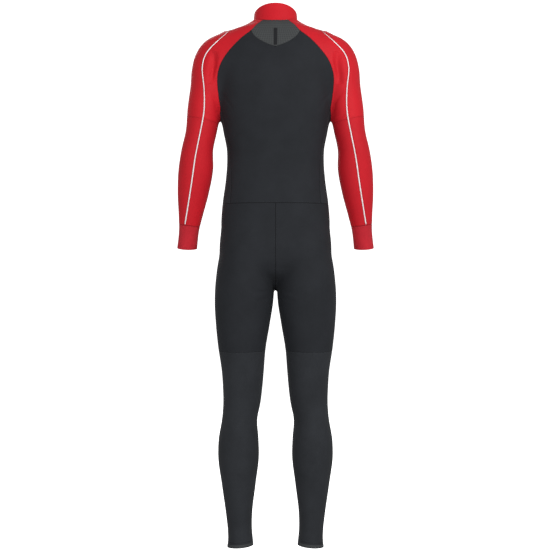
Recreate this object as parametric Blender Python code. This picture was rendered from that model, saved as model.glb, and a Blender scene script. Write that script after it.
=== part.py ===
"""A one-piece racing suit for cross-country skiing, in the hollow form that it has when it is worn.

The suit faces -Y and stands along +Z, and the wearer's left is +X. The origin is between the shoulders,
level with the sides of the neck, where the wearer carries it. Every cloth piece is a thin wall whose outer
face lies on a plain figure, and the seams are curves drawn on that figure.
"""

import math

import bmesh
import bpy
import numpy as np
from mathutils import Matrix

# Driving sizes, in metres
BODY_WALL = 0.0012
YOKE_WALL = 0.0010
CUFF_WALL = 0.0016
COLLAR_WALL = 0.0020
HALF_GAP = 0.00016
LAID_ON_GAP = 0.0003

WAIST_Z = -0.511
CROTCH_Z = -0.732
KNEE_SEAM_Z = -0.915
ANKLE_BAND_TOP_Z = -1.438
HEM_Z = -1.4535
ELBOW_SEAM_Z = -0.281
CUFF_SEAM_Z = -0.5665
CUFF_END_Z = -0.630

NECK_WIDTH = 0.124
NECK_DEPTH = 0.128
NECK_MIDDLE_Y = 0.011
COLLAR_TOP_WIDTH = 0.1200
COLLAR_TOP_DEPTH = 0.115
COLLAR_TOP_MIDDLE_Y = 0.005
COLLAR_TOP_MIDDLE_Z = 0.010
COLLAR_TOP_SLOPE = math.tan(math.radians(22))

ZIP_HALF_WIDTH = 0.0070
ZIP_COIL_HALF_WIDTH = 0.0026
ZIP_COIL_HEIGHT = 0.0008
ZIP_TAPE_THICKNESS = 0.0012
PIPING_HALF_WIDTH = 0.0022
PIPING_HEIGHT = 0.0020
PIPING_GAP = 0.0007
PIPING_SHOULDER = 0.72
PIPING_SHOULDER_HEIGHT = 0.8
PIPING_TOP_TRIM = 0.16
PIPING_END_TRIM = 0.03
NAPE_TAPE_HALF_WIDTH = 0.0045
NAPE_TAPE_THICKNESS = 0.0008

# The plain figure under the cloth: three stacks of level ovals, top row first.
# Columns: z, half width, middle y, depth in front of the middle, depth behind it.
TRUNK = (
    (0.014, 0.018, 0.034, 0.012, 0.014),
    (0.004, 0.042, 0.034, 0.026, 0.026),
    (-0.007, 0.0595, 0.034, 0.036, 0.034),
    (-0.018, 0.0775, 0.032, 0.048, 0.044),
    (-0.027, 0.0965, 0.028, 0.055, 0.056),
    (-0.035, 0.119, 0.024, 0.060, 0.064),
    (-0.043, 0.139, 0.021, 0.065, 0.071),
    (-0.056, 0.161, 0.018, 0.074, 0.080),
    (-0.075, 0.173, 0.014, 0.083, 0.092),
    (-0.100, 0.176, 0.010, 0.092, 0.103),
    (-0.140, 0.170, 0.006, 0.103, 0.112),
    (-0.180, 0.163, 0.004, 0.112, 0.114),
    (-0.245, 0.154, 0.002, 0.117, 0.109),
    (-0.310, 0.144, 0.000, 0.111, 0.099),
    (-0.360, 0.1347, -0.003, 0.102, 0.090),
    (-0.393, 0.1341, -0.005, 0.096, 0.087),
    (-0.443, 0.1378, -0.004, 0.095, 0.087),
    (-0.511, 0.1466, 0.000, 0.101, 0.093),
    (-0.5755, 0.1495, 0.004, 0.105, 0.102),
    (-0.640, 0.140, 0.006, 0.104, 0.104),
    (-0.681, 0.105, 0.006, 0.088, 0.090),
    (-0.706, 0.055, 0.006, 0.062, 0.066),
    (-0.721, 0.014, 0.006, 0.030, 0.034),
)
# Columns: z, middle x, half width, middle y, depth in front of the middle, depth behind it.
ARM = (
    (-0.046, 0.138, 0.010, 0.014, 0.010, 0.010),
    (-0.053, 0.143, 0.025, 0.014, 0.020, 0.020),
    (-0.063, 0.149, 0.038, 0.014, 0.034, 0.034),
    (-0.080, 0.157, 0.0495, 0.014, 0.045, 0.045),
    (-0.100, 0.166, 0.0535, 0.013, 0.053, 0.053),
    (-0.140, 0.178, 0.0525, 0.013, 0.060, 0.060),
    (-0.180, 0.186, 0.0475, 0.013, 0.060, 0.060),
    (-0.2443, 0.1958, 0.0462, 0.013, 0.057, 0.057),
    (-0.310, 0.2045, 0.0432, 0.012, 0.052, 0.052),
    (-0.360, 0.2158, 0.0438, 0.008, 0.050, 0.049),
    (-0.410, 0.2205, 0.0479, -0.003, 0.049, 0.048),
    (-0.476, 0.2289, 0.0435, -0.018, 0.043, 0.043),
    (-0.542, 0.2375, 0.0333, -0.033, 0.034, 0.034),
    (-0.5755, 0.2420, 0.0287, -0.041, 0.030, 0.030),
    (-0.634, 0.2495, 0.0282, -0.055, 0.030, 0.030),
    (-0.660, 0.2528, 0.0284, -0.061, 0.031, 0.031),
)
LEG = (
    (-0.580, 0.070, 0.060, 0.008, 0.080, 0.080),
    (-0.640, 0.0765, 0.0750, 0.008, 0.100, 0.100),
    (-0.719, 0.0840, 0.0807, 0.008, 0.096, 0.099),
    (-0.774, 0.0868, 0.0810, 0.006, 0.090, 0.092),
    (-0.840, 0.0903, 0.0745, 0.004, 0.084, 0.081),
    (-0.907, 0.0925, 0.0655, 0.002, 0.076, 0.072),
    (-0.973, 0.0905, 0.0581, -0.001, 0.067, 0.064),
    (-1.017, 0.0910, 0.0547, -0.003, 0.062, 0.060),
    (-1.061, 0.0933, 0.0515, -0.002, 0.060, 0.056),
    (-1.100, 0.0987, 0.0490, 0.002, 0.059, 0.058),
    (-1.160, 0.1018, 0.0554, 0.010, 0.059, 0.064),
    (-1.200, 0.1018, 0.0565, 0.013, 0.058, 0.062),
    (-1.282, 0.1015, 0.0468, 0.009, 0.050, 0.050),
    (-1.370, 0.1005, 0.0359, 0.002, 0.043, 0.043),
    (-1.410, 0.0985, 0.0337, 0.000, 0.042, 0.043),
    (-1.437, 0.0969, 0.0346, 0.000, 0.043, 0.044),
    (-1.458, 0.0970, 0.0368, 0.000, 0.045, 0.046),
    (-1.480, 0.0970, 0.0368, 0.000, 0.045, 0.046),
)
TRUNK_ROUNDNESS = 2.25
NAPE_ROUNDNESS = 1.6
NAPE_FROM_Z = -0.032
NAPE_TO_Z = -0.014
LIMB_ROUNDNESS = 2.0
SHOULDER_BLEND = 0.055
SHOULDER_BLEND_Z = -0.130
ARMPIT_BLEND = 0.016
ARMPIT_BLEND_Z = -0.250
HIP_BLEND = 0.030
HIP_BLEND_Z = -0.660
CROTCH_BLEND = 0.006

# Where the visible seams run, as points (x, z) seen from behind or from the front.
RAGLAN_BACK = (
    (0.0660, -0.0480),
    (0.0960, -0.0713),
    (0.1133, -0.0893),
    (0.1335, -0.1119),
    (0.1504, -0.1405),
    (0.1567, -0.1600),
    (0.1582, -0.1815),
    (0.1568, -0.2030),
    (0.1540, -0.2260),
)
RAGLAN_FRONT = (
    (0.0660, -0.0900),
    (0.1010, -0.1220),
    (0.1340, -0.1560),
    (0.1520, -0.1900),
    (0.1550, -0.2100),
    (0.1540, -0.2280),
)
SIDE_SEAM = (
    (0.1500, -0.2520),
    (0.1415, -0.2800),
    (0.1335, -0.3120),
    (0.1260, -0.3550),
    (0.1230, -0.3900),
    (0.1200, -0.4300),
    (0.1205, -0.4750),
    (0.1230, WAIST_Z),
)
YOKE_EDGE = ((0.0, -0.0950), (0.0230, -0.0875), (0.0420, -0.0765), (0.0580, -0.0640))
PIPING = (
    (0.1312, -0.0512),
    (0.1474, -0.0664),
    (0.1638, -0.0788),
    (0.1768, -0.0902),
    (0.1874, -0.1037),
    (0.1941, -0.1171),
    (0.1988, -0.1450),
    (0.1951, -0.1760),
    (0.1922, -0.2194),
    (0.1930, -0.2574),
    (0.2041, -0.3171),
    (0.2184, -0.3823),
    (0.2290, -0.4470),
    (0.2409, -0.5107),
    (0.2520, -0.5677),
)
NAPE_TAPE_TOP_Z = -0.0425
NAPE_TAPE_END_Z = -0.0915
ARMPIT = (0.1525, 0.006, -0.266)
SEAT_MIDDLE = (0.0, 0.0, -0.62)
WAIST_RAYS_FROM = 0.6
SIDE_PANEL_BOW = 0.02
COLLAR_FOOT_GAP = 0.0004
PIPING_OVER_SHOULDER = ((0.117, 0.024, -0.036), (0.093, -0.004, -0.030))

# Angles around the neck, from the middle of the back to the zip's edge, in degrees
NECK_AT_RAGLAN_BACK = 34.5
NECK_AT_PIPING = 118.0
NECK_AT_RAGLAN_FRONT = 143.0
NECK_AT_ZIP = 180.0 - math.degrees(math.asin((ZIP_HALF_WIDTH + HALF_GAP) / (NECK_WIDTH / 2)))

# Slopes of the seams round the limbs: rise in z for each metre in x and in y
ELBOW_SEAM_SLOPE = (0.225, 0.0)
CUFF_SEAM_SLOPE = (0.135, -0.05)
CUFF_END_SLOPE = (0.05, -0.20)
HEM_SLOPE = (-0.08, 0.05)
LEG_SEAM_SLOPE = (-0.01, 0.0)

# Angles around a leg from its outer side, backwards positive, in degrees
STRIPE_BACK_ANGLE = 3.0
STRIPE_FRONT_ANGLE = -38.0

# How many quads lie along each stretch
YOKE_ROWS = 3
RAGLAN_ROWS = 13
ARMHOLE_ROWS = 3
UNDERARM_ROWS = 1
SIDE_ROWS = 9
BACK_COLUMNS = 10
FRONT_COLUMNS = 5
SLEEVE_BACK_COLUMNS = 6
SLEEVE_FRONT_COLUMNS = 10
LOWER_SLEEVE_ROWS = 9
CUFF_ROWS = 2
SEAT_ROWS = 9
THIGH_ROWS = 6
THIGH_COLUMNS = 9
STRIPE_COLUMNS = 2
LOWER_LEG_ROWS = 14
COLLAR_ROWS = 3
RELAX_ROUNDS = 24

# The zip's slider and its pull tab
SLIDER_WIDTH = 0.0086
SLIDER_LENGTH = 0.0110
SLIDER_THICKNESS = 0.0022
SLIDER_BELOW_TOP = 0.0100
SLIDER_LIFT = 0.0003
SLIDER_CORNER = 0.0018
BRIDGE_WIDTH = 0.0022
BRIDGE_LENGTH = 0.0074
BRIDGE_OPENING = 0.0028
BRIDGE_THICKNESS = 0.0009
PULL_PIN_DROP = 0.0013
PULL_EYE_WIDTH = 0.0030
PULL_EYE_LENGTH = 0.0044
PULL_WIDTH = 0.0056
PULL_LENGTH = 0.0230
PULL_THICKNESS = 0.0012
PULL_CORNER = 0.0014

# Colour, roughness and metallic value of each material
FINISHES = {
    "black_jersey": ((0.026, 0.028, 0.032), 0.62, 0.0),
    "black_brushed": ((0.030, 0.032, 0.037), 0.72, 0.0),
    "grey_mesh": ((0.050, 0.054, 0.056), 0.70, 0.0),
    "red_jersey": ((0.640, 0.018, 0.030), 0.50, 0.0),
    "red_rib": ((0.560, 0.030, 0.045), 0.75, 0.0),
    "white_piping": ((0.800, 0.810, 0.830), 0.40, 0.0),
    "zip_tape": ((0.022, 0.022, 0.024), 0.60, 0.0),
    "zip_metal": ((0.060, 0.060, 0.065), 0.35, 0.8),
}


def read_rows(table, z):
    """The columns of a table at heights z, on a smooth curve through its rows."""
    rows = np.array(table)[::-1]
    heights, values = rows[:, 0], rows[:, 1:]
    slopes = np.gradient(values, heights, axis=0)
    z = np.clip(z, heights[0], heights[-1])
    low = np.clip(np.searchsorted(heights, z) - 1, 0, len(heights) - 2)
    span = (heights[low + 1] - heights[low])[:, None]
    t = (z - heights[low])[:, None] / span
    ease = t * t * (3 - 2 * t)
    bend = slopes[low] * t * (1 - t) ** 2 - slopes[low + 1] * t * t * (1 - t)
    return values[low] * (1 - ease) + values[low + 1] * ease + span * bend


def past_ends(table, z):
    """How far z lies above the first row or below the last one."""
    return np.maximum(z - table[0][0], 0) + np.maximum(table[-1][0] - z, 0)


def oval_distance(dx, dy, half_width, front, back, roundness):
    """Signed distance from an oval, measured along the line to its middle."""
    depth = np.where(dy < 0, front, back)
    share = (np.abs(dx / half_width) ** roundness + np.abs(dy / depth) ** roundness) ** (1 / roundness)
    length = np.hypot(dx, dy)
    return np.where(share < 1e-3, -np.minimum(half_width, depth), length - length / np.maximum(share, 1e-3))


def merge(a, b, blend):
    """The union of two distances, rounded over a width of blend."""
    near = np.clip(0.5 + 0.5 * (b - a) / blend, 0, 1)
    return b * (1 - near) + a * near - blend * near * (1 - near)


def figure(points):
    """Signed distance of points from the plain figure under the cloth: below zero is inside."""
    x, y, z = np.abs(points[:, 0]), points[:, 1], points[:, 2]
    half_width, middle_y, front, back = read_rows(TRUNK, z).T
    roundness = np.interp(z, (NAPE_FROM_Z, NAPE_TO_Z), (TRUNK_ROUNDNESS, NAPE_ROUNDNESS))
    trunk = oval_distance(x, y - middle_y, half_width, front, back, roundness)
    trunk += past_ends(TRUNK, z)
    limbs = []
    for table, mirror in ((ARM, 1), (LEG, 1), (LEG, -1)):
        middle_x, half_width, middle_y, front, back = read_rows(table, z).T
        limb = oval_distance(mirror * x - middle_x, y - middle_y, half_width, front, back, LIMB_ROUNDNESS)
        limbs.append(limb + past_ends(table, z))
    arm, near_leg, far_leg = limbs
    blend = np.interp(z, (CROTCH_Z, HIP_BLEND_Z), (CROTCH_BLEND, HIP_BLEND))
    body = merge(trunk, merge(near_leg, far_leg, CROTCH_BLEND), blend)
    blend = np.interp(z, (ARMPIT_BLEND_Z, SHOULDER_BLEND_Z), (ARMPIT_BLEND, SHOULDER_BLEND))
    return merge(body, arm, blend)


def steepness(points, step=0.0004):
    """The gradient of the figure's distance at points."""
    columns = []
    for axis in np.eye(3) * step:
        columns.append((figure(points + axis) - figure(points - axis)) / (2 * step))
    return np.stack(columns, axis=1)


def outward(points):
    """The outward unit normals of the figure near points, smooth over a few millimetres."""
    flat = np.reshape(points, (-1, 3))
    slope = steepness(flat, step=0.003)
    return (slope / np.linalg.norm(slope, axis=1, keepdims=True)).reshape(np.shape(points))


def settle(points, rounds=8):
    """Points moved onto the figure, straight along its slope."""
    flat = np.reshape(points, (-1, 3)).astype(float)
    for _ in range(rounds):
        slope = steepness(flat)
        flat = flat - slope * (figure(flat) / np.maximum((slope**2).sum(axis=1), 0.05))[:, None]
    return flat.reshape(np.shape(points))


def cross_skin(starts, directions, furthest=0.30, steps=300):
    """The first place where each line from starts crosses the figure's skin."""
    starts, directions = np.atleast_2d(starts).astype(float), np.atleast_2d(directions).astype(float)
    reach = np.linspace(0, furthest, steps + 1)
    along = starts[:, None] + directions[:, None] * reach[None, :, None]
    inside = figure(along.reshape(-1, 3)).reshape(len(starts), -1) < 0
    first = np.argmax(inside != inside[:, :1], axis=1)
    near, far = reach[first - 1], reach[first]
    for _ in range(24):
        middle = (near + far) / 2
        same = (figure(starts + directions * middle[:, None]) < 0) == inside[:, 0]
        near, far = np.where(same, middle, near), np.where(same, far, middle)
    return starts + directions * near[:, None]


def seen(points, side):
    """Points (x, z) carried onto the figure's back for side 1 and its front for side -1."""
    starts = [(x, side * 0.25, z) for x, z in points]
    return cross_skin(starts, [(0, -side, 0)] * len(starts))


def spaced(points, count):
    """A smooth curve through points, given again as count equal stretches on the figure."""
    points = np.array(points, dtype=float)
    lengths = np.concatenate([[0], np.cumsum(np.linalg.norm(np.diff(points, axis=0), axis=1))])
    slopes = np.gradient(points, lengths, axis=0)
    at = np.linspace(0, lengths[-1], 40 * count + 1)
    low = np.clip(np.searchsorted(lengths, at) - 1, 0, len(lengths) - 2)
    span = (lengths[low + 1] - lengths[low])[:, None]
    t = (at - lengths[low])[:, None] / span
    ease = t * t * (3 - 2 * t)
    bend = slopes[low] * t * (1 - t) ** 2 - slopes[low + 1] * t * t * (1 - t)
    fine = settle(points[low] * (1 - ease) + points[low + 1] * ease + span * bend)
    run = np.concatenate([[0], np.cumsum(np.linalg.norm(np.diff(fine, axis=0), axis=1))])
    even = np.linspace(0, run[-1], count + 1)
    return settle(np.stack([np.interp(even, run, fine[:, axis]) for axis in range(3)], axis=1))


def joined(*curves):
    """Curves set end to end, each starting where the one before it ended."""
    return np.concatenate([curves[0]] + [curve[1:] for curve in curves[1:]])


def limb_ring(table, z, slope, angles):
    """Points round an arm or a leg on a plane through height z, at angles from its outer side."""
    middle_x, _, middle_y, _, _ = read_rows(table, np.array([z]))[0]
    turns = np.radians(angles)
    across, deep = np.cos(turns), np.sin(turns)
    directions = np.stack([across, deep, slope[0] * across + slope[1] * deep], axis=1)
    return cross_skin([(middle_x, middle_y, z)] * len(turns), directions, furthest=0.16, steps=160)


def angle_round(table, point):
    """The angle of a point round an arm or a leg, from its outer side, in degrees."""
    middle_x, _, middle_y, _, _ = read_rows(table, np.array([point[2]]))[0]
    return math.degrees(math.atan2(point[1] - middle_y, point[0] - middle_x))


def neck_ring(angles):
    """The neck seam at angles from the middle of the back, where the collar is sewn on."""
    turns = np.radians(angles)
    x, y = NECK_WIDTH / 2 * np.sin(turns), NECK_MIDDLE_Y + NECK_DEPTH / 2 * np.cos(turns)
    starts = np.stack([x, y, np.full(len(turns), 0.15)], axis=1)
    return cross_skin(starts, [(0, 0, -1)] * len(turns))


def collar_top(angles):
    """The collar's top edge at angles from the middle of the back. It slopes down to the front."""
    turns = np.radians(angles)
    y = COLLAR_TOP_DEPTH / 2 * np.cos(turns)
    z = COLLAR_TOP_MIDDLE_Z + COLLAR_TOP_SLOPE * y
    return np.stack([COLLAR_TOP_WIDTH / 2 * np.sin(turns), COLLAR_TOP_MIDDLE_Y + y, z], axis=1)


def patch(bottom, top, left, right):
    """A grid of points on the figure between four seams, evened out in a few rounds."""
    across = np.linspace(0, 1, len(bottom))[None, :, None]
    up = np.linspace(0, 1, len(left))[:, None, None]
    grid = (1 - up) * bottom[None] + up * top[None] + (1 - across) * left[:, None] + across * right[:, None]
    grid -= (1 - up) * ((1 - across) * bottom[0] + across * bottom[-1])
    grid -= up * ((1 - across) * top[0] + across * top[-1])
    for _ in range(RELAX_ROUNDS):
        inner = grid[1:-1, 1:-1]
        even = (grid[:-2, 1:-1] + grid[2:, 1:-1] + grid[1:-1, :-2] + grid[1:-1, 2:]) / 4
        grid[1:-1, 1:-1] = settle(0.3 * inner + 0.7 * even, rounds=2)
    grid[1:-1, 1:-1] = settle(grid[1:-1, 1:-1])
    return grid


def drawn_in(grid):
    """A grid with its edges moved in by half of the gap that a seam leaves."""
    moved = grid.copy()
    for edge, beside in (((0,), (1,)), ((-1,), (-2,)), ((slice(None), 0), (slice(None), 1)),
                         ((slice(None), -1), (slice(None), -2))):
        step = grid[beside] - grid[edge]
        moved[edge] += step / np.linalg.norm(step, axis=-1, keepdims=True) * HALF_GAP
    return moved


def add_solid(name, points, faces, finish):
    """A closed mesh as one named object, with its faces turned outwards."""
    mesh = bpy.data.meshes.new(name)
    mesh.from_pydata([tuple(point) for point in points], [], faces)
    shape = bmesh.new()
    shape.from_mesh(mesh)
    if shape.calc_volume(signed=True) < 0:
        bmesh.ops.reverse_faces(shape, faces=shape.faces)
    shape.to_mesh(mesh)
    shape.free()
    mesh.shade_smooth()
    mesh.set_sharp_from_angle(angle=math.radians(40))
    mesh.materials.append(MATERIALS[finish])
    solid = bpy.data.objects.new(name, mesh)
    bpy.context.scene.collection.objects.link(solid)
    return solid


def add_wall(name, outer, inner, finish):
    """A cloth piece: an outer and an inner grid of points, closed round the edge."""
    rows, columns = outer.shape[:2]

    def corner(layer, row, column):
        return layer * rows * columns + row * columns + column

    faces = []
    for row in range(rows - 1):
        for column in range(columns - 1):
            ring = ((row, column), (row, column + 1), (row + 1, column + 1), (row + 1, column))
            faces.append([corner(0, *at) for at in ring])
            faces.append([corner(1, *at) for at in reversed(ring)])
    rim = [(0, column) for column in range(columns)] + [(row, columns - 1) for row in range(1, rows)]
    rim += [(rows - 1, column) for column in range(columns - 2, -1, -1)]
    rim += [(row, 0) for row in range(rows - 2, 0, -1)]
    for here, after in zip(rim, rim[1:] + rim[:1]):
        ring = [corner(0, *after), corner(0, *here), corner(1, *here), corner(1, *after)]
        split = (0, 2) if (np.abs(outer[after]) - np.abs(outer[here])) @ (0.11, 0.37, -1.0) > 0 else (1, 3)
        faces.append([ring[split[0]], ring[split[0] + 1], ring[split[1]]])
        faces.append([ring[split[1]], ring[(split[1] + 1) % 4], ring[split[0]]])
    points = np.concatenate([outer.reshape(-1, 3), inner.reshape(-1, 3)])
    return add_solid(name, points, faces, finish)


def mirrored(points):
    """Points carried over to the other side of the wearer."""
    return np.asarray(points) * (-1, 1, 1)


def add_cloth(name, grid, wall, finish, both_sides=True):
    """A cloth piece on the figure, or a left and a right one."""
    outer = drawn_in(grid)
    inner = outer - outward(outer) * wall
    if not both_sides:
        return add_wall(name, outer, inner, finish)
    for layer in (outer, inner):
        layer[..., 0] = np.maximum(layer[..., 0], HALF_GAP)
    add_wall(name + "_left", outer, inner, finish)
    return add_wall(name + "_right", mirrored(outer), mirrored(inner), finish)


def add_loft(name, sections, finish):
    """A closed strip through sections: an array of rows, each with the same count of points round it."""
    sides, last = sections.shape[1], len(sections) - 1
    faces = [list(range(sides)), [last * sides + side for side in reversed(range(sides))]]
    for row in range(last):
        for side in range(sides):
            after = (side + 1) % sides
            ring = ((row, after), (row, side), (row + 1, side), (row + 1, after))
            faces.append([at_row * sides + at_side for at_row, at_side in ring])
    return add_solid(name, sections.reshape(-1, 3), faces, finish)


def draw_seams():
    """Every seam of the left half, as points on the figure."""
    seams = {}
    at_neck = np.linspace(0, NECK_AT_RAGLAN_BACK, BACK_COLUMNS // 2 + 1)
    seams["neck_yoke"] = neck_ring(at_neck)
    seams["neck_back"] = neck_ring(np.linspace(NECK_AT_RAGLAN_BACK, NECK_AT_PIPING, SLEEVE_BACK_COLUMNS + 1))
    seams["neck_sleeve_front"] = neck_ring(
        np.linspace(NECK_AT_PIPING, NECK_AT_RAGLAN_FRONT, SLEEVE_FRONT_COLUMNS + 1)
    )
    seams["neck_front"] = neck_ring(np.linspace(NECK_AT_RAGLAN_FRONT, NECK_AT_ZIP, FRONT_COLUMNS + 1))

    armpit = settle(np.array([ARMPIT]))[0]
    raglan = seen(RAGLAN_BACK, 1)
    side_back, side_front = seen(SIDE_SEAM, 1), seen(SIDE_SEAM, -1)
    corner = seams["neck_back"][0]
    seams["raglan_yoke"] = spaced([corner, (raglan[0] + corner) / 2, raglan[0]], YOKE_ROWS)
    seams["raglan_back"] = spaced(np.concatenate([raglan, side_back[:1]]), RAGLAN_ROWS)
    seams["armhole_back"] = spaced([side_back[0], (side_back[0] + armpit) / 2, armpit], ARMHOLE_ROWS)
    seams["armhole_front"] = spaced([side_front[0], (side_front[0] + armpit) / 2, armpit], ARMHOLE_ROWS)
    front = np.concatenate([seams["neck_front"][:1], seen(RAGLAN_FRONT, -1), side_front[:1]])
    seams["raglan_front"] = spaced(front, YOKE_ROWS + RAGLAN_ROWS)
    seams["side_back"] = spaced(side_back, SIDE_ROWS)
    seams["side_front"] = spaced(side_front, SIDE_ROWS)

    over = settle(np.array(PIPING_OVER_SHOULDER))
    upper = [point for point in PIPING if point[1] > ELBOW_SEAM_Z]
    lower = [point for point in PIPING if point[1] <= ELBOW_SEAM_Z]
    all_piping = np.concatenate([seams["neck_sleeve_front"][:1], over[::-1], seen(upper + lower, 1)])
    fine = spaced(all_piping, 200)
    elbow = fine[np.argmin(np.abs(fine[:, 2] - ELBOW_SEAM_Z))]
    cuff_angle = angle_round(ARM, fine[-1])
    elbow_angle = angle_round(ARM, elbow)
    rings = []
    for row in range(LOWER_SLEEVE_ROWS + 1):
        down = row / LOWER_SLEEVE_ROWS
        z = ELBOW_SEAM_Z + (CUFF_SEAM_Z - ELBOW_SEAM_Z) * down
        slope = [a + (b - a) * down for a, b in zip(ELBOW_SEAM_SLOPE, CUFF_SEAM_SLOPE)]
        nearest = fine[np.argmin(np.abs(fine[:, 2] - z))]
        piping = {0: elbow_angle, LOWER_SLEEVE_ROWS: cuff_angle}.get(row, angle_round(ARM, nearest))
        back = np.linspace(180, piping, SLEEVE_BACK_COLUMNS + 1)
        front = np.linspace(piping, -180, SLEEVE_FRONT_COLUMNS + 1)[1:]
        rings.append(limb_ring(ARM, z, slope, np.concatenate([back, front])))
    seams["lower_sleeve"] = np.array(rings)
    elbow_ring = rings[0]
    rows = YOKE_ROWS + RAGLAN_ROWS + ARMHOLE_ROWS + UNDERARM_ROWS
    above = fine[: np.argmin(np.abs(fine[:, 2] - ELBOW_SEAM_Z)) - 3 : 12]
    at_elbow = elbow_ring[SLEEVE_BACK_COLUMNS][None]
    seams["piping_upper"] = spaced(np.concatenate([above, at_elbow]), rows)
    seams["underarm"] = spaced([armpit, (armpit + elbow_ring[0]) / 2, elbow_ring[0]], UNDERARM_ROWS)
    seams["underarm"][-1] = elbow_ring[0]
    seams["piping_upper"][-1] = elbow_ring[SLEEVE_BACK_COLUMNS]
    return seams


def body_pieces(seams):
    """The back, the mesh yoke, the side panels and the fronts, above the waist seam."""
    waist_back = seen([(x, WAIST_Z) for x in np.linspace(0, SIDE_SEAM[-1][0], BACK_COLUMNS // 2 + 1)], 1)
    raglan_top = seams["raglan_back"][0]
    half_edge = spaced(np.concatenate([seen(YOKE_EDGE, 1), [raglan_top]]), BACK_COLUMNS // 2)
    half_edge[0, 0] = 0.0
    half_edge[-1] = raglan_top

    def whole(half):
        return joined(mirrored(half)[::-1], half)

    side = joined(seams["side_back"][::-1], seams["raglan_back"][::-1])
    back = patch(whole(waist_back), whole(half_edge), mirrored(side), side)
    add_cloth("back_panel", back, BODY_WALL, "black_jersey", both_sides=False)

    raglan = seams["raglan_yoke"][::-1]
    yoke = patch(whole(half_edge), whole(seams["neck_yoke"]), mirrored(raglan), raglan)
    add_cloth("yoke_mesh", yoke, YOKE_WALL, "grey_mesh", both_sides=False)

    armhole = joined(seams["armhole_back"], seams["armhole_front"][::-1])
    waist_turns = np.linspace(0, 1, 2 * ARMHOLE_ROWS + 1)[:, None]
    ends = np.stack([seams["side_back"][-1], seams["side_front"][-1]])
    bow = np.sin(waist_turns * np.pi) * (SIDE_PANEL_BOW, 0, 0)
    waist_side = settle(ends[0] * (1 - waist_turns) + ends[1] * waist_turns + bow)
    waist_side[:, 2] = WAIST_Z
    waist_side[[0, -1]] = ends
    panel = patch(waist_side, armhole, seams["side_back"][::-1], seams["side_front"][::-1])
    add_cloth("side_panel", panel, BODY_WALL, "black_brushed")

    zip_x = ZIP_HALF_WIDTH + HALF_GAP
    outer_edge = joined(seams["side_front"][::-1], seams["raglan_front"][::-1])
    heights = np.linspace(WAIST_Z, seams["neck_front"][-1][2], len(outer_edge))
    zip_edge = seen([(zip_x, z) for z in heights], -1)
    zip_edge[-1] = seams["neck_front"][-1]
    waist_front = seen([(x, WAIST_Z) for x in np.linspace(SIDE_SEAM[-1][0], zip_x, FRONT_COLUMNS + 1)], -1)
    front = patch(waist_front, seams["neck_front"], outer_edge, zip_edge)
    add_cloth("front", front, BODY_WALL, "black_jersey")


def sleeve_pieces(seams):
    """The raglan sleeves, each cut in two along the piping and across above the elbow, and the cuffs."""
    inner_back = joined(seams["raglan_yoke"], seams["raglan_back"], seams["armhole_back"], seams["underarm"])
    inner_front = joined(seams["raglan_front"], seams["armhole_front"], seams["underarm"])
    lower = seams["lower_sleeve"]
    elbow_back, elbow_front = lower[0, : SLEEVE_BACK_COLUMNS + 1], lower[0, SLEEVE_BACK_COLUMNS:]
    upper_back = patch(seams["neck_back"], elbow_back, inner_back, seams["piping_upper"])
    upper_front = patch(seams["neck_sleeve_front"], elbow_front, seams["piping_upper"], inner_front)
    add_cloth("sleeve_upper_back", upper_back, BODY_WALL, "red_jersey")
    add_cloth("sleeve_upper_front", upper_front, BODY_WALL, "red_jersey")
    add_cloth("sleeve_lower_back", lower[:, : SLEEVE_BACK_COLUMNS + 1], BODY_WALL, "red_jersey")
    add_cloth("sleeve_lower_front", lower[:, SLEEVE_BACK_COLUMNS:], BODY_WALL, "red_jersey")

    seam_turn = angle_round(ARM, lower[-1, SLEEVE_BACK_COLUMNS])
    turns = joined(np.linspace(180, seam_turn, SLEEVE_BACK_COLUMNS + 1),
                   np.linspace(seam_turn, -180, SLEEVE_FRONT_COLUMNS + 1))
    rings = []
    for down in np.linspace(0, 1, CUFF_ROWS + 1):
        z = CUFF_SEAM_Z + (CUFF_END_Z - CUFF_SEAM_Z) * down
        slope = [a + (b - a) * down for a, b in zip(CUFF_SEAM_SLOPE, CUFF_END_SLOPE)]
        rings.append(limb_ring(ARM, z, slope, turns))
    rings[0] = lower[-1]
    add_cloth("cuff", np.array(rings), CUFF_WALL, "red_rib")

    path = joined(seams["piping_upper"], lower[:, SLEEVE_BACK_COLUMNS])
    behind = joined(upper_back[:, -2], lower[:, SLEEVE_BACK_COLUMNS - 1])
    ahead = joined(upper_front[:, 1], lower[:, SLEEVE_BACK_COLUMNS + 1])
    sections = piping_sections(path, behind, ahead)
    add_loft("piping_left", sections, "white_piping")
    add_loft("piping_right", mirrored(sections), "white_piping")


def piping_sections(path, behind, ahead):
    """The piping's sections along a seam. Its feet lie on the cloth towards the points on either side."""
    normals = outward(path)
    feet = []
    for beside in (behind, ahead):
        step = beside - path
        step *= PIPING_HALF_WIDTH / np.linalg.norm(step, axis=1, keepdims=True)
        shoulder = path + PIPING_SHOULDER * step + normals * PIPING_SHOULDER_HEIGHT * PIPING_HEIGHT
        feet.append((path + step + normals * PIPING_GAP, shoulder))
    base, crown = path + normals * PIPING_GAP, path + normals * (PIPING_GAP + PIPING_HEIGHT)
    sections = np.stack([base, *feet[0], crown, *reversed(feet[1])], axis=1)
    sections[0] += (sections[1] - sections[0]) * PIPING_TOP_TRIM
    sections[-1] += (sections[-2] - sections[-1]) * PIPING_END_TRIM
    return sections


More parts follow.
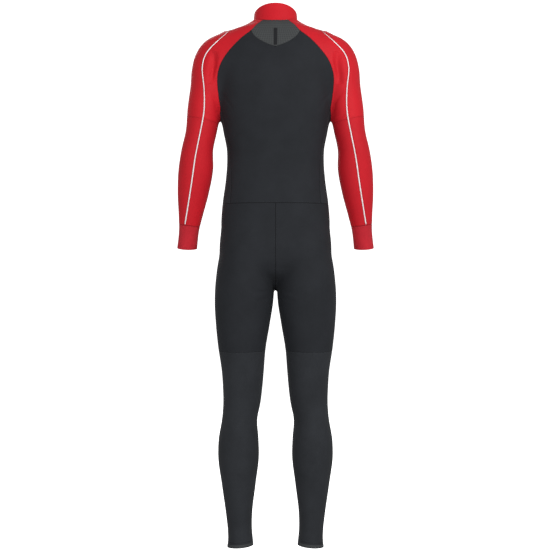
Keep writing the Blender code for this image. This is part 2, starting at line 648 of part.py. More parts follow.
def leg_pieces():
    """The seat and thigh pieces, the red side stripes, the lower legs and the ankle bands."""
    halves = {}
    for side in (1, -1):
        top = seen([(0.0, WAIST_Z)], side)[0]
        start = math.atan2(top[2] - SEAT_MIDDLE[2], side * top[1])
        turns = np.linspace(start, -math.pi / 2, 25)
        directions = np.stack([0 * turns, side * np.cos(turns), np.sin(turns)], axis=1)
        line = cross_skin([SEAT_MIDDLE] * len(turns), directions)
        line[0] = top
        halves[side] = spaced(line, SEAT_ROWS)
        halves[side][:, 0] = 0.0
    crotch = (halves[1][-1] + halves[-1][-1]) / 2
    halves[1][-1] = halves[-1][-1] = crotch

    heights = np.linspace(crotch[2], KNEE_SEAM_Z, 12)[1:]
    inside = [limb_ring(LEG, z, (0, 0), [180])[0] for z in heights]
    inseam = spaced(np.concatenate([[crotch], inside]), THIGH_ROWS)
    inseam[-1] = limb_ring(LEG, KNEE_SEAM_Z, LEG_SEAM_SLOPE, [180])[0]
    rows = SEAT_ROWS + THIGH_ROWS
    edges = {}
    for angle in (STRIPE_BACK_ANGLE, STRIPE_FRONT_ANGLE):
        line = [limb_ring(LEG, z, (0, 0), [angle])[0] for z in np.linspace(WAIST_Z, KNEE_SEAM_Z, 24)]
        edges[angle] = spaced(line, rows)
        edges[angle][0, 2] = WAIST_Z
        edges[angle][-1] = limb_ring(LEG, KNEE_SEAM_Z, LEG_SEAM_SLOPE, [angle])[0]
    knee_turns = joined(np.linspace(180, STRIPE_BACK_ANGLE, THIGH_COLUMNS + 1),
                        np.linspace(STRIPE_BACK_ANGLE, STRIPE_FRONT_ANGLE, STRIPE_COLUMNS + 1),
                        np.linspace(STRIPE_FRONT_ANGLE, -180, THIGH_COLUMNS + 1))
    pieces = (
        ("thigh_back", joined(halves[1], inseam), edges[STRIPE_BACK_ANGLE], THIGH_COLUMNS,
         (180, STRIPE_BACK_ANGLE), "black_jersey"),
        ("thigh_stripe", edges[STRIPE_BACK_ANGLE], edges[STRIPE_FRONT_ANGLE], STRIPE_COLUMNS,
         (STRIPE_BACK_ANGLE, STRIPE_FRONT_ANGLE), "red_jersey"),
        ("thigh_front", edges[STRIPE_FRONT_ANGLE], joined(halves[-1], inseam), THIGH_COLUMNS,
         (STRIPE_FRONT_ANGLE, -180), "black_jersey"),
    )
    for name, left, right, columns, turns, finish in pieces:
        knee = limb_ring(LEG, KNEE_SEAM_Z, LEG_SEAM_SLOPE, np.linspace(*turns, columns + 1))
        inside = np.array([WAIST_RAYS_FROM * (left[0, 0] + right[0, 0]) / 2, 0.0, WAIST_Z])
        share = np.linspace(0, 1, columns + 1)[:, None]
        rays = (left[0] * (1 - share) + right[0] * share - inside) * (1, 1, 0)
        rays /= np.linalg.norm(rays, axis=1, keepdims=True)
        waist = cross_skin([inside] * (columns + 1), rays)
        waist[0], waist[-1] = left[0], right[0]
        grid = patch(waist, knee, left, right)
        add_cloth(name, grid, BODY_WALL, finish)

    def leg_tube(name, top, end, top_slope, end_slope, rows, finish):
        rings = []
        for down in np.linspace(0, 1, rows + 1):
            slope = [a + (b - a) * down for a, b in zip(top_slope, end_slope)]
            z = top + (end - top) * down
            rings.append(limb_ring(LEG, z, slope, knee_turns))
        add_cloth(name, np.array(rings), BODY_WALL, finish)

    leg_tube("lower_leg", KNEE_SEAM_Z, ANKLE_BAND_TOP_Z, LEG_SEAM_SLOPE, HEM_SLOPE, LOWER_LEG_ROWS,
             "black_brushed")
    leg_tube("ankle_band", ANKLE_BAND_TOP_Z, HEM_Z, HEM_SLOPE, HEM_SLOPE, 1, "black_jersey")


def collar_piece():
    """The stand collar, open at the front where the zip runs."""
    parts = (
        np.linspace(0, NECK_AT_RAGLAN_BACK, BACK_COLUMNS // 2 + 1),
        np.linspace(NECK_AT_RAGLAN_BACK, NECK_AT_PIPING, SLEEVE_BACK_COLUMNS + 1)[1:],
        np.linspace(NECK_AT_PIPING, NECK_AT_RAGLAN_FRONT, SLEEVE_FRONT_COLUMNS + 1)[3::3],
        np.linspace(NECK_AT_RAGLAN_FRONT, NECK_AT_ZIP, FRONT_COLUMNS + 1)[1:],
    )
    half = np.concatenate(parts)
    angles = np.concatenate([-half[::-1], half[1:]])
    foot, top = neck_ring(angles), collar_top(angles)
    up = np.linspace(0, 1, COLLAR_ROWS + 1)[:, None, None]
    outer = foot[None] * (1 - up) + top[None] * up
    rise = outer[1] - outer[0]
    outer[0] += rise / np.linalg.norm(rise, axis=1, keepdims=True) * COLLAR_FOOT_GAP
    turns = np.radians(angles)
    normals = np.stack([np.sin(turns), np.cos(turns), np.zeros(len(turns))], axis=1)
    inner = outer - normals[None] * COLLAR_WALL
    for layer in (outer, inner):
        layer[:, 0, 0], layer[:, -1, 0] = -(ZIP_HALF_WIDTH + HALF_GAP), ZIP_HALF_WIDTH + HALF_GAP
    add_wall("collar", outer, inner, "red_jersey")


def zip_pieces():
    """The zip's two sides, its slider and its pull tab."""
    foot, top = neck_ring([180.0])[0], collar_top([180.0])[0]
    heights = np.linspace(WAIST_Z + 2 * HALF_GAP, foot[2] - 0.006, 18)
    body = seen([(0.0, z) for z in heights], -1)
    neck = np.array([foot + (top - foot) * share for share in (0.14, 0.4, 0.7, 1.0)])
    path = np.concatenate([body, neck])
    tangents = np.gradient(path, axis=0)
    normals = np.cross(tangents, (-1.0, 0.0, 0.0))
    normals /= np.linalg.norm(normals, axis=1, keepdims=True)
    edge, coil = ZIP_HALF_WIDTH - HALF_GAP, ZIP_COIL_HALF_WIDTH
    for name, hand in (("zip_left", 1), ("zip_right", -1)):
        profile = ((HALF_GAP, -ZIP_TAPE_THICKNESS), (edge, -ZIP_TAPE_THICKNESS), (edge, -0.0002),
                   (coil, -0.0002), (coil, ZIP_COIL_HEIGHT), (HALF_GAP, ZIP_COIL_HEIGHT))
        sections = [path + np.array((hand * across, 0, 0)) + normals * out for across, out in profile]
        add_loft(name, np.stack(sections, axis=1), "zip_tape")
    add_slider(path, normals)


def nape_tape_piece():
    """The tape down the middle of the mesh yoke."""
    path = seen([(0.0, z) for z in np.linspace(NAPE_TAPE_TOP_Z, NAPE_TAPE_END_Z, 5)], 1)
    normals, edge = outward(path), NAPE_TAPE_HALF_WIDTH
    top = LAID_ON_GAP + NAPE_TAPE_THICKNESS
    profile = ((-edge, LAID_ON_GAP), (-edge, top), (edge, top), (edge, LAID_ON_GAP))
    sections = [path + np.array((across, 0, 0)) + normals * out for across, out in profile]
    add_loft("nape_tape", np.stack(sections, axis=1), "black_jersey")


def add_prism(name, outline, thickness, finish):
    """A flat piece with an outline (x, z), from y = 0 back to y = thickness."""
    count = len(outline)
    points = [(x, y, z) for y in (0.0, thickness) for x, z in outline]
    faces = [list(range(count)), list(range(2 * count - 1, count - 1, -1))]
    for here in range(count):
        after = (here + 1) % count
        faces.append([after, here, count + here, count + after])
    return add_solid(name, points, faces, finish)


def add_block(size, middle):
    """A plain block used to add to or cut another solid."""
    half = np.array(size) / 2
    corners = [np.array(middle) + half * (i, j, k) for i in (-1, 1) for j in (-1, 1) for k in (-1, 1)]
    faces = [(0, 1, 3, 2), (4, 6, 7, 5), (0, 4, 5, 1), (2, 3, 7, 6), (0, 2, 6, 4), (1, 5, 7, 3)]
    return add_solid("block", corners, faces, "zip_metal")


def combine(solid, tool, operation):
    """Joins a tool to a solid, or cuts the solid with it, and takes the tool away."""
    change = solid.modifiers.new("change", "BOOLEAN")
    change.operation, change.solver, change.object = operation, "EXACT", tool
    result = bpy.data.meshes.new_from_object(solid.evaluated_get(bpy.context.evaluated_depsgraph_get()))
    solid.modifiers.remove(change)
    solid.data = result
    bpy.data.objects.remove(tool)


def rounded(width, length, corner, steps=4):
    """The outline (x, z) of a flat piece with rounded corners. Its top edge is at z = 0."""
    half, outline = width / 2 - corner, []
    for x, z, start in ((half, -corner, 0), (-half, -corner, 90), (-half, corner - length, 180),
                        (half, corner - length, 270)):
        for turn in np.radians(np.linspace(start, start + 90, steps + 1)):
            outline.append((x + corner * math.cos(turn), z + corner * math.sin(turn)))
    return outline


def add_slider(path, normals):
    """The zip's slider with its bridge, and the pull tab that hangs from the bridge."""
    heights, top = path[:, 2], path[-1, 2]
    z = top - SLIDER_BELOW_TOP
    front = np.interp(z, heights, path[:, 1]) - ZIP_COIL_HEIGHT - SLIDER_LIFT
    outline = rounded(SLIDER_WIDTH, SLIDER_LENGTH, SLIDER_CORNER)
    slider = add_prism("zip_slider", outline, SLIDER_THICKNESS, "zip_metal")
    slider.data.transform(Matrix.Translation((0, -SLIDER_THICKNESS, 0)))
    middle = -SLIDER_LENGTH / 2
    reach = BRIDGE_OPENING + BRIDGE_THICKNESS
    bridge = add_block((BRIDGE_WIDTH, reach + 0.0005, BRIDGE_LENGTH),
                       (0, -SLIDER_THICKNESS - reach / 2 + 0.00025, middle))
    opening = add_block((2 * BRIDGE_WIDTH, BRIDGE_OPENING, BRIDGE_LENGTH - 2 * BRIDGE_THICKNESS),
                        (0, -SLIDER_THICKNESS - BRIDGE_OPENING / 2, middle))
    combine(bridge, opening, "DIFFERENCE")
    combine(slider, bridge, "UNION")

    pin_z = middle - BRIDGE_LENGTH / 2 + BRIDGE_THICKNESS + PULL_PIN_DROP
    pin = (0, -SLIDER_THICKNESS - BRIDGE_OPENING / 2, pin_z)
    outline, half = rounded(PULL_WIDTH, PULL_LENGTH, PULL_CORNER), PULL_THICKNESS / 2
    pull = add_prism("zip_pull", outline, PULL_THICKNESS, "zip_metal")
    pull.data.transform(Matrix.Translation((0, -half, half)))
    eye_size = (PULL_EYE_WIDTH, 2 * PULL_THICKNESS, PULL_EYE_LENGTH)
    eye = add_block(eye_size, (0, 0, -half - PULL_EYE_LENGTH / 2))
    combine(pull, eye, "DIFFERENCE")
    for solid, place in ((slider, (0, 0, 0)), (pull, pin)):
        solid.location = np.array(place) + (0, front, z + SLIDER_LENGTH / 2)


def clear_scene():
    """Takes away whatever the scene holds."""
    for old in list(bpy.data.objects):
        bpy.data.objects.remove(old)


def make_material(name, colour, roughness, metallic):
    """One material with a plain Principled shader."""
    material = bpy.data.materials.new(name)
    material.use_nodes = True
    shader = material.node_tree.nodes["Principled BSDF"]
    shader.inputs["Base Color"].default_value = (*colour, 1.0)
    shader.inputs["Roughness"].default_value = roughness
    shader.inputs["Metallic"].default_value = metallic
    material.diffuse_color = (*colour, 1.0)
    return material


clear_scene()
MATERIALS = {name: make_material(name, *finish) for name, finish in FINISHES.items()}
SEAMS = draw_seams()
body_pieces(SEAMS)
sleeve_pieces(SEAMS)
leg_pieces()
collar_piece()
nape_tape_piece()
zip_pieces()
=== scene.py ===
"""The cloth, seams, zip and light of a cross-country racing suit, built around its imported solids.

The suit faces -Y and hangs along +Z, with the wearer's left at +X. Sizes are in metres.
"""

import logging
import math
from collections.abc import Iterator
from dataclasses import dataclass, field
from enum import Enum

import bmesh
import bpy
import numpy as np
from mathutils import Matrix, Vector
from mathutils.kdtree import KDTree

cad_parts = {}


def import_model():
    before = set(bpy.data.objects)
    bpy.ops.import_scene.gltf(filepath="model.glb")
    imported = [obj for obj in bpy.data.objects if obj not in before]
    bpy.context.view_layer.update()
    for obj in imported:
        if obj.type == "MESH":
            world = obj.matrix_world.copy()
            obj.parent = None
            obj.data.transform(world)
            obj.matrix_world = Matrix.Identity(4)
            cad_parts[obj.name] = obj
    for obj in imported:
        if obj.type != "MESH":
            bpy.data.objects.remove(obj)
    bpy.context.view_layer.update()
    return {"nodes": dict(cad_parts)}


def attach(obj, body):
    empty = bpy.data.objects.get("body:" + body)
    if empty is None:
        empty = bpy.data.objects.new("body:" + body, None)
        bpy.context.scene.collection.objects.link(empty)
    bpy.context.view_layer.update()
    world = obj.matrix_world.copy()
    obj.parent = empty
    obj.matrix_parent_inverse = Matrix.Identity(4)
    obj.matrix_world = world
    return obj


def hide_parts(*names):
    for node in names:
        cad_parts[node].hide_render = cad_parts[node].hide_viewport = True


LOG = logging.getLogger("racing_suit")
SUIT = "suit"
PULL_TAB = "zip_pull_tab"
MERGE = 0.00002
STITCH_PITCH = 0.0033
STITCH = (0.00045, 0.00045, 0.0023)

Point = tuple[float, float, float]
Colour = tuple[float, float, float]


def on_curve(knots: np.ndarray, values: np.ndarray, at: np.ndarray) -> np.ndarray:
    """Values on a smooth curve through rows of them.

    Args:
        knots: where each row lies along the curve, rising.
        values: the rows.
        at: where the new rows are wanted.

    Returns:
        A row for each place.
    """
    slopes = np.gradient(values, knots, axis=0)
    low = np.clip(np.searchsorted(knots, at) - 1, 0, len(knots) - 2)
    span = (knots[low + 1] - knots[low])[:, None]
    share = (at - knots[low])[:, None] / span
    ease = share * share * (3 - 2 * share)
    bend = slopes[low] * share * (1 - share) ** 2 - slopes[low + 1] * share * share * (1 - share)
    return values[low] * (1 - ease) + values[low + 1] * ease + span * bend


class Side(Enum):
    """The wearer's left and right, with the sign of x on that side."""

    LEFT = 1
    RIGHT = -1

    @property
    def word(self) -> str:
        """The side's name as it ends a node's name."""
        return self.name.lower()


class Limb(Enum):
    """What a cloth panel goes round, with the usual radius of it."""

    NECK = 0.060
    NAPE = 0.085
    TRUNK = 0.140
    ARM = 0.048
    LEG = 0.064


class Figure:
    """The plain figure under the cloth, the same one that the solids lie on."""

    # Columns: z, half width, middle y, depth in front of the middle, depth behind it
    TRUNK = (
        (0.014, 0.018, 0.034, 0.012, 0.014),
        (0.004, 0.042, 0.034, 0.026, 0.026),
        (-0.007, 0.0595, 0.034, 0.036, 0.034),
        (-0.018, 0.0775, 0.032, 0.048, 0.044),
        (-0.027, 0.0965, 0.028, 0.055, 0.056),
        (-0.035, 0.119, 0.024, 0.060, 0.064),
        (-0.043, 0.139, 0.021, 0.065, 0.071),
        (-0.056, 0.161, 0.018, 0.074, 0.080),
        (-0.075, 0.173, 0.014, 0.083, 0.092),
        (-0.100, 0.176, 0.010, 0.092, 0.103),
        (-0.140, 0.170, 0.006, 0.103, 0.112),
        (-0.180, 0.163, 0.004, 0.112, 0.114),
        (-0.245, 0.154, 0.002, 0.117, 0.109),
        (-0.310, 0.144, 0.000, 0.111, 0.099),
        (-0.360, 0.1347, -0.003, 0.102, 0.090),
        (-0.393, 0.1341, -0.005, 0.096, 0.087),
        (-0.443, 0.1378, -0.004, 0.095, 0.087),
        (-0.511, 0.1466, 0.000, 0.101, 0.093),
        (-0.5755, 0.1495, 0.004, 0.105, 0.102),
        (-0.640, 0.140, 0.006, 0.104, 0.104),
        (-0.681, 0.105, 0.006, 0.088, 0.090),
        (-0.706, 0.055, 0.006, 0.062, 0.066),
        (-0.721, 0.014, 0.006, 0.030, 0.034),
    )
    # Columns: z, middle x, half width, middle y, depth in front of the middle, depth behind it
    ARM = (
        (-0.046, 0.138, 0.010, 0.014, 0.010, 0.010),
        (-0.053, 0.143, 0.025, 0.014, 0.020, 0.020),
        (-0.063, 0.149, 0.038, 0.014, 0.034, 0.034),
        (-0.080, 0.157, 0.0495, 0.014, 0.045, 0.045),
        (-0.100, 0.166, 0.0535, 0.013, 0.053, 0.053),
        (-0.140, 0.178, 0.0525, 0.013, 0.060, 0.060),
        (-0.180, 0.186, 0.0475, 0.013, 0.060, 0.060),
        (-0.2443, 0.1958, 0.0462, 0.013, 0.057, 0.057),
        (-0.310, 0.2045, 0.0432, 0.012, 0.052, 0.052),
        (-0.360, 0.2158, 0.0438, 0.008, 0.050, 0.049),
        (-0.410, 0.2205, 0.0479, -0.003, 0.049, 0.048),
        (-0.476, 0.2289, 0.0435, -0.018, 0.043, 0.043),
        (-0.542, 0.2375, 0.0333, -0.033, 0.034, 0.034),
        (-0.5755, 0.2420, 0.0287, -0.041, 0.030, 0.030),
        (-0.634, 0.2495, 0.0282, -0.055, 0.030, 0.030),
        (-0.660, 0.2528, 0.0284, -0.061, 0.031, 0.031),
    )
    LEG = (
        (-0.580, 0.070, 0.060, 0.008, 0.080, 0.080),
        (-0.640, 0.0765, 0.0750, 0.008, 0.100, 0.100),
        (-0.719, 0.0840, 0.0807, 0.008, 0.096, 0.099),
        (-0.774, 0.0868, 0.0810, 0.006, 0.090, 0.092),
        (-0.840, 0.0903, 0.0745, 0.004, 0.084, 0.081),
        (-0.907, 0.0925, 0.0655, 0.002, 0.076, 0.072),
        (-0.973, 0.0905, 0.0581, -0.001, 0.067, 0.064),
        (-1.017, 0.0910, 0.0547, -0.003, 0.062, 0.060),
        (-1.061, 0.0933, 0.0515, -0.002, 0.060, 0.056),
        (-1.100, 0.0987, 0.0490, 0.002, 0.059, 0.058),
        (-1.160, 0.1018, 0.0554, 0.010, 0.059, 0.064),
        (-1.200, 0.1018, 0.0565, 0.013, 0.058, 0.062),
        (-1.282, 0.1015, 0.0468, 0.009, 0.050, 0.050),
        (-1.370, 0.1005, 0.0359, 0.002, 0.043, 0.043),
        (-1.410, 0.0985, 0.0337, 0.000, 0.042, 0.043),
        (-1.437, 0.0969, 0.0346, 0.000, 0.043, 0.044),
        (-1.458, 0.0970, 0.0368, 0.000, 0.045, 0.046),
        (-1.480, 0.0970, 0.0368, 0.000, 0.045, 0.046),
    )
    TRUNK_ROUNDNESS = 2.25
    NAPE_ROUNDNESS = 1.6
    NAPE_HEIGHTS = (-0.032, -0.014)
    LIMB_ROUNDNESS = 2.0
    SHOULDER_HEIGHTS, SHOULDER_BLENDS = (-0.250, -0.130), (0.016, 0.055)
    HIP_HEIGHTS, HIP_BLENDS = (-0.732, -0.660), (0.006, 0.030)
    CROTCH_BLEND = 0.006
    SLOPE_STEP = 0.0004
    NORMAL_STEP = 0.0030

    @staticmethod
    def rows(table: tuple, z: np.ndarray) -> np.ndarray:
        """The columns of a table at heights z, on a smooth curve through its rows.

        Args:
            table: rows from the top down, with the height first.
            z: the heights.

        Returns:
            An array with a row for each height.
        """
        rows = np.array(table)[::-1]
        heights = rows[:, 0]
        return on_curve(heights, rows[:, 1:], np.clip(z, heights[0], heights[-1]))

    @staticmethod
    def past(table: tuple, z: np.ndarray) -> np.ndarray:
        """How far z lies above a table's first row or below its last one."""
        return np.maximum(z - table[0][0], 0) + np.maximum(table[-1][0] - z, 0)

    @staticmethod
    def oval(dx: np.ndarray, dy: np.ndarray, sizes: tuple, roundness: np.ndarray | float) -> np.ndarray:
        """Signed distance from an oval, along the line to its middle.

        Args:
            dx: offsets from the middle in x.
            dy: offsets from the middle in y.
            sizes: its half width, and its depth in front of and behind the middle.
            roundness: the power of its outline, 2 for an ellipse.

        Returns:
            A distance for each offset, below zero inside.
        """
        half_width, front, back = sizes
        depth = np.where(dy < 0, front, back)
        share = np.abs(dx / half_width) ** roundness + np.abs(dy / depth) ** roundness
        share = np.maximum(share ** (1 / roundness), 1e-3)
        length = np.hypot(dx, dy)
        return length - length / share

    @staticmethod
    def merge(a: np.ndarray, b: np.ndarray, blend: np.ndarray | float) -> np.ndarray:
        """The union of two distances, rounded over a width of blend."""
        near = np.clip(0.5 + 0.5 * (b - a) / blend, 0, 1)
        return b * (1 - near) + a * near - blend * near * (1 - near)

    def distance(self, points: np.ndarray) -> np.ndarray:
        """Signed distance of points from the figure, below zero inside."""
        x, y, z = np.abs(points[:, 0]), points[:, 1], points[:, 2]
        half_width, middle_y, front, back = self.rows(self.TRUNK, z).T
        roundness = np.interp(z, self.NAPE_HEIGHTS, (self.TRUNK_ROUNDNESS, self.NAPE_ROUNDNESS))
        trunk = self.oval(x, y - middle_y, (half_width, front, back), roundness) + self.past(self.TRUNK, z)
        limbs = []
        for table, mirror in ((self.ARM, 1), (self.LEG, 1), (self.LEG, -1)):
            middle_x, half_width, middle_y, front, back = self.rows(table, z).T
            sizes = (half_width, front, back)
            limb = self.oval(mirror * x - middle_x, y - middle_y, sizes, self.LIMB_ROUNDNESS)
            limbs.append(limb + self.past(table, z))
        arm, near_leg, far_leg = limbs
        legs = self.merge(near_leg, far_leg, self.CROTCH_BLEND)
        body = self.merge(trunk, legs, np.interp(z, self.HIP_HEIGHTS, self.HIP_BLENDS))
        return self.merge(body, arm, np.interp(z, self.SHOULDER_HEIGHTS, self.SHOULDER_BLENDS))

    def slope(self, points: np.ndarray, step: float) -> np.ndarray:
        """The gradient of the distance at points, over a step."""
        columns = []
        for axis in np.eye(3) * step:
            columns.append((self.distance(points + axis) - self.distance(points - axis)) / (2 * step))
        return np.stack(columns, axis=1)

    def normals(self, points: np.ndarray) -> np.ndarray:
        """Outward unit normals near points, smooth over a few millimetres."""
        slope = self.slope(points, self.NORMAL_STEP)
        return slope / np.linalg.norm(slope, axis=1, keepdims=True)

    def settle(self, points: np.ndarray, rounds: int = 3) -> np.ndarray:
        """Points moved straight onto the figure.

        Args:
            points: points near the figure.
            rounds: how often each is moved.

        Returns:
            The moved points.
        """
        for _ in range(rounds):
            slope = self.slope(points, self.SLOPE_STEP)
            steep = np.maximum((slope**2).sum(axis=1), 0.05)
            points = points - slope * (self.distance(points) / steep)[:, None]
        return points

    def middle(self, limb: Limb, points: np.ndarray) -> np.ndarray:
        """The middle (x, y) of the trunk or a limb at the heights of points.

        Args:
            limb: the trunk, the arms or the legs.
            points: points on one side of the wearer, or both for the trunk.

        Returns:
            A row of x and y for each point.
        """
        z = points[:, 2]
        if limb in (Limb.TRUNK, Limb.NECK, Limb.NAPE):
            middle = self.rows(self.TRUNK, z)
            return np.stack([np.zeros(len(z)), middle[:, 1]], axis=1)
        middle = self.rows(self.ARM if limb is Limb.ARM else self.LEG, z)
        hand = 1.0 if points[:, 0].mean() > 0 else -1.0
        return np.stack([hand * middle[:, 0], middle[:, 2]], axis=1)


FIGURE = Figure()


class Graph:
    """A node tree, shader or geometry, that is filled in by short calls."""

    def __init__(self, tree: bpy.types.NodeTree) -> None:
        """Keeps the tree and empties it."""
        self.tree = tree
        tree.nodes.clear()

    def add(self, kind: str, inputs: dict | None = None, out: int | str = 0, **settings: object):
        """Adds a node and links or sets its inputs.

        Args:
            kind: the node's type.
            inputs: a value or a socket for each input, by its name or number.
            out: which output to give back.
            **settings: the node's own settings.

        Returns:
            The node's chosen output socket, or the node where it has none.
        """
        node = self.tree.nodes.new(kind)
        for name, value in settings.items():
            setattr(node, name, value)
        for name, value in (inputs or {}).items():
            self.feed(node.inputs[name], value)
        return node.outputs[out] if len(node.outputs) else node

    def feed(self, socket: bpy.types.NodeSocket, value: object) -> None:
        """Links a socket's value into an input, or sets a plain value on it."""
        if isinstance(value, bpy.types.NodeSocket):
            self.tree.links.new(value, socket)
        else:
            socket.default_value = value

    def math(self, operation: str, *values: object, clamp: bool = False):
        """A Math node's output, for its operation and its one to three values."""
        return self.add("ShaderNodeMath", dict(enumerate(values)), operation=operation, use_clamp=clamp)

    def ramp(self, value: object, low: float, high: float, to_low: float = 0.0, to_high: float = 1.0):
        """A smooth Map Range of a value, from low to high."""
        numbers = {"Value": value, "From Min": low, "From Max": high, "To Min": to_low, "To Max": to_high}
        return self.add("ShaderNodeMapRange", numbers, interpolation_type="SMOOTHSTEP")

    def mix(self, factor: object, first: object, second: object, blend: str = "MIX"):
        """A colour mixed from two others."""
        node = self.tree.nodes.new("ShaderNodeMix")
        node.data_type, node.blend_type = "RGBA", blend
        self.feed(node.inputs[0], factor)
        for number, colour in ((6, first), (7, second)):
            plain = not isinstance(colour, bpy.types.NodeSocket)
            self.feed(node.inputs[number], (*colour[:3], 1.0) if plain else colour)
        return node.outputs[2]

    def noise(self, scale: float, detail: float, **more: object):
        """A noise on Object coordinates, of a scale and detail."""
        place = self.add("ShaderNodeTexCoord", out="Object")
        return self.add("ShaderNodeTexNoise", {"Vector": place, "Scale": scale, "Detail": detail, **more})

    def waves(self, place: object, pitch: float):
        """A sine wave along a measure, with the pitch in metres."""
        return self.math("SINE", self.math("MULTIPLY", place, 2 * math.pi / pitch))

    def bump(self, height: object, strength: float, distance: float, **more: object):
        """A bump of a height, strength and distance."""
        inputs = {"Strength": strength, "Distance": distance, "Height": height, **more}
        return self.add("ShaderNodeBump", inputs)


@dataclass(frozen=True)
class Finish:
    """What every finish has: a colour, and how it takes the light."""

    name: str
    colour: Colour
    roughness: float = 0.6
    sheen: float = 0.0
    metallic: float = 0.0
    specular: float = 0.3

    def material(self) -> bpy.types.Material:
        """The finish as a material, made once."""
        known = bpy.data.materials.get(self.name + "_finish")
        if known:
            return known
        made = bpy.data.materials.new(self.name + "_finish")
        made.use_nodes = True
        graph = Graph(made.node_tree)
        shader = graph.add("ShaderNodeBsdfPrincipled").node
        plain = {"Base Color": (*self.colour, 1.0), "Roughness": self.roughness, "Metallic": self.metallic,
                 "Specular IOR Level": self.specular, "Sheen Weight": self.sheen, "Sheen Roughness": 0.45}
        for name, value in {**plain, **self.dress(graph)}.items():
            graph.feed(shader.inputs[name], value)
        graph.add("ShaderNodeOutputMaterial", {"Surface": shader.outputs[0]})
        made.diffuse_color = (*self.colour, 1.0)
        return made

    def dress(self, graph: Graph) -> dict:
        """The finish's own pattern.

        Args:
            graph: the material's nodes.

        Returns:
            What goes into the shader's inputs, by their names.
        """
        spots = graph.noise(700.0, 3.0)
        shine = graph.ramp(spots, 0.3, 0.7, self.roughness - 0.05, self.roughness + 0.05)
        return {"Normal": graph.bump(spots, 0.2, 0.0002), "Roughness": shine}


def cloth_place(graph: Graph) -> tuple:
    """The sockets of the cloth's own two measures, round it and along it, in metres."""
    lay = graph.add("ShaderNodeUVMap", uv_map="cloth")
    split = graph.add("ShaderNodeSeparateXYZ", {"Vector": lay}).node
    return split.outputs[0], split.outputs[1]


@dataclass(frozen=True)
class Knit(Finish):
    """A stretch knit with fine wales and courses, and a darker line of painted shade along its seams."""

    wale: float = 0.0011
    course: float = 0.0009
    relief: float = 0.00012
    grain: float = 0.05
    mottle: float = 0.10
    seam_tint: float = 0.62
    seam_width: float = 0.0016

    def dress(self, graph: Graph) -> dict:
        """The knit's relief, its uneven dye, painted shade between its loops and painted shade along its
        seams, for the shader's inputs.
        """
        across, along = cloth_place(graph)
        clouds = graph.noise(14.0, 4.0, Roughness=0.6)
        fuzz = graph.noise(1100.0, 2.0)
        shade = graph.ramp(clouds, 0.25, 0.75, 1.0 - self.mottle, 1.0 + self.mottle)
        grain = graph.ramp(fuzz, 0.2, 0.8, 1.0 - self.grain, 1.0 + self.grain)
        relief = self.loops(graph, across, along)
        # Painted shade between the loops: the colour darkens where the loops sink, by the grain's amount.
        lit = graph.math("MULTIPLY_ADD", relief, self.grain, 1.0 - self.grain / 2)
        shade = graph.math("MULTIPLY", graph.math("MULTIPLY", shade, grain), lit)
        # Painted shade along the seams: the colour darkens towards each seam, standing in for the shade in
        # its groove; a factor above 1 lightens it instead.
        seam = graph.add("ShaderNodeAttribute", out="Fac", attribute_name="seam")
        line = graph.ramp(seam, 0.0, self.seam_width, self.seam_tint, 1.0)
        shade = graph.math("MULTIPLY", shade, line)
        tint = graph.add("ShaderNodeCombineXYZ", {0: shade, 1: shade, 2: shade})
        colour = self.trim(graph, graph.mix(1.0, self.colour, tint, "MULTIPLY"))
        bump = graph.bump(clouds, 0.35, 0.0006, Normal=graph.bump(relief, 0.5, self.relief))
        rough = graph.ramp(fuzz, 0.2, 0.8, self.roughness - 0.06, self.roughness + 0.06)
        return {"Base Color": colour, "Normal": bump, "Roughness": rough}

    def loops(self, graph: Graph, across: object, along: object):
        """The height of the knit's loops, from 0 to 1."""
        wales = graph.waves(across, self.wale)
        courses = graph.waves(along, self.course)
        both = graph.math("MULTIPLY", wales, courses)
        return graph.math("MULTIPLY_ADD", graph.math("ADD", wales, both), 0.25, 0.5)

    def trim(self, graph: Graph, colour: object):
        """The colour with anything that is printed on or worked into it."""
        return colour


@dataclass(frozen=True)
class Cord(Finish):
    """A bias strip folded over a cord: a smooth twill with fine slanting ribs."""

    rib: float = 0.0012

    def dress(self, graph: Graph) -> dict:
        """The slanting ribs and a little soiling, for the shader's inputs."""
        place = graph.add("ShaderNodeTexCoord", out="Object")
        split = graph.add("ShaderNodeSeparateXYZ", {"Vector": place}).node
        ribs = graph.waves(graph.math("ADD", split.outputs[2], split.outputs[0]), self.rib)
        worn = [value * 0.93 for value in self.colour]
        colour = graph.mix(graph.ramp(graph.noise(60.0, 3.0), 0.35, 0.7), self.colour, worn)
        return {"Base Color": colour, "Normal": graph.bump(ribs, 0.3, 0.0001)}


@dataclass(frozen=True)
class Worn(Finish):
    """Dark plated metal, rubbed a little brighter in spots."""

    def dress(self, graph: Graph) -> dict:
        """Rubbed spots and fine scratches, for the shader's inputs."""
        spots = graph.noise(420.0, 4.0)
        rubbed = [min(value * 1.9, 1.0) for value in self.colour]
        colour = graph.mix(graph.ramp(spots, 0.52, 0.72), self.colour, rubbed)
        rough = graph.ramp(spots, 0.3, 0.7, self.roughness + 0.10, self.roughness - 0.08)
        return {"Base Color": colour, "Roughness": rough, "Normal": graph.bump(spots, 0.15, 0.0001)}


@dataclass(frozen=True)
class Net(Knit):
    """A fine net, whose holes are darker than its threads."""

    hole: Colour = (0.0470, 0.0500, 0.0512)

    def loops(self, graph: Graph, across: object, along: object):
        """The height of the net's threads, from 0 in a hole to 1."""
        heights = []
        for place, pitch in ((across, self.wale), (along, self.course)):
            heights.append(graph.ramp(graph.waves(place, pitch), 0.45, 0.95))
        return graph.math("MAXIMUM", *heights)

    def trim(self, graph: Graph, colour: object):
        """The colour, darker in the holes."""
        across, along = cloth_place(graph)
        return graph.mix(self.loops(graph, across, along), self.hole, colour)


@dataclass(frozen=True)
class Rib(Knit):
    """A fine rib whose ridges run along the cloth."""

    def loops(self, graph: Graph, across: object, along: object):
        """The height of the ridges, from 0 to 1."""
        return graph.math("MULTIPLY_ADD", graph.waves(across, self.wale), 0.5, 0.5)


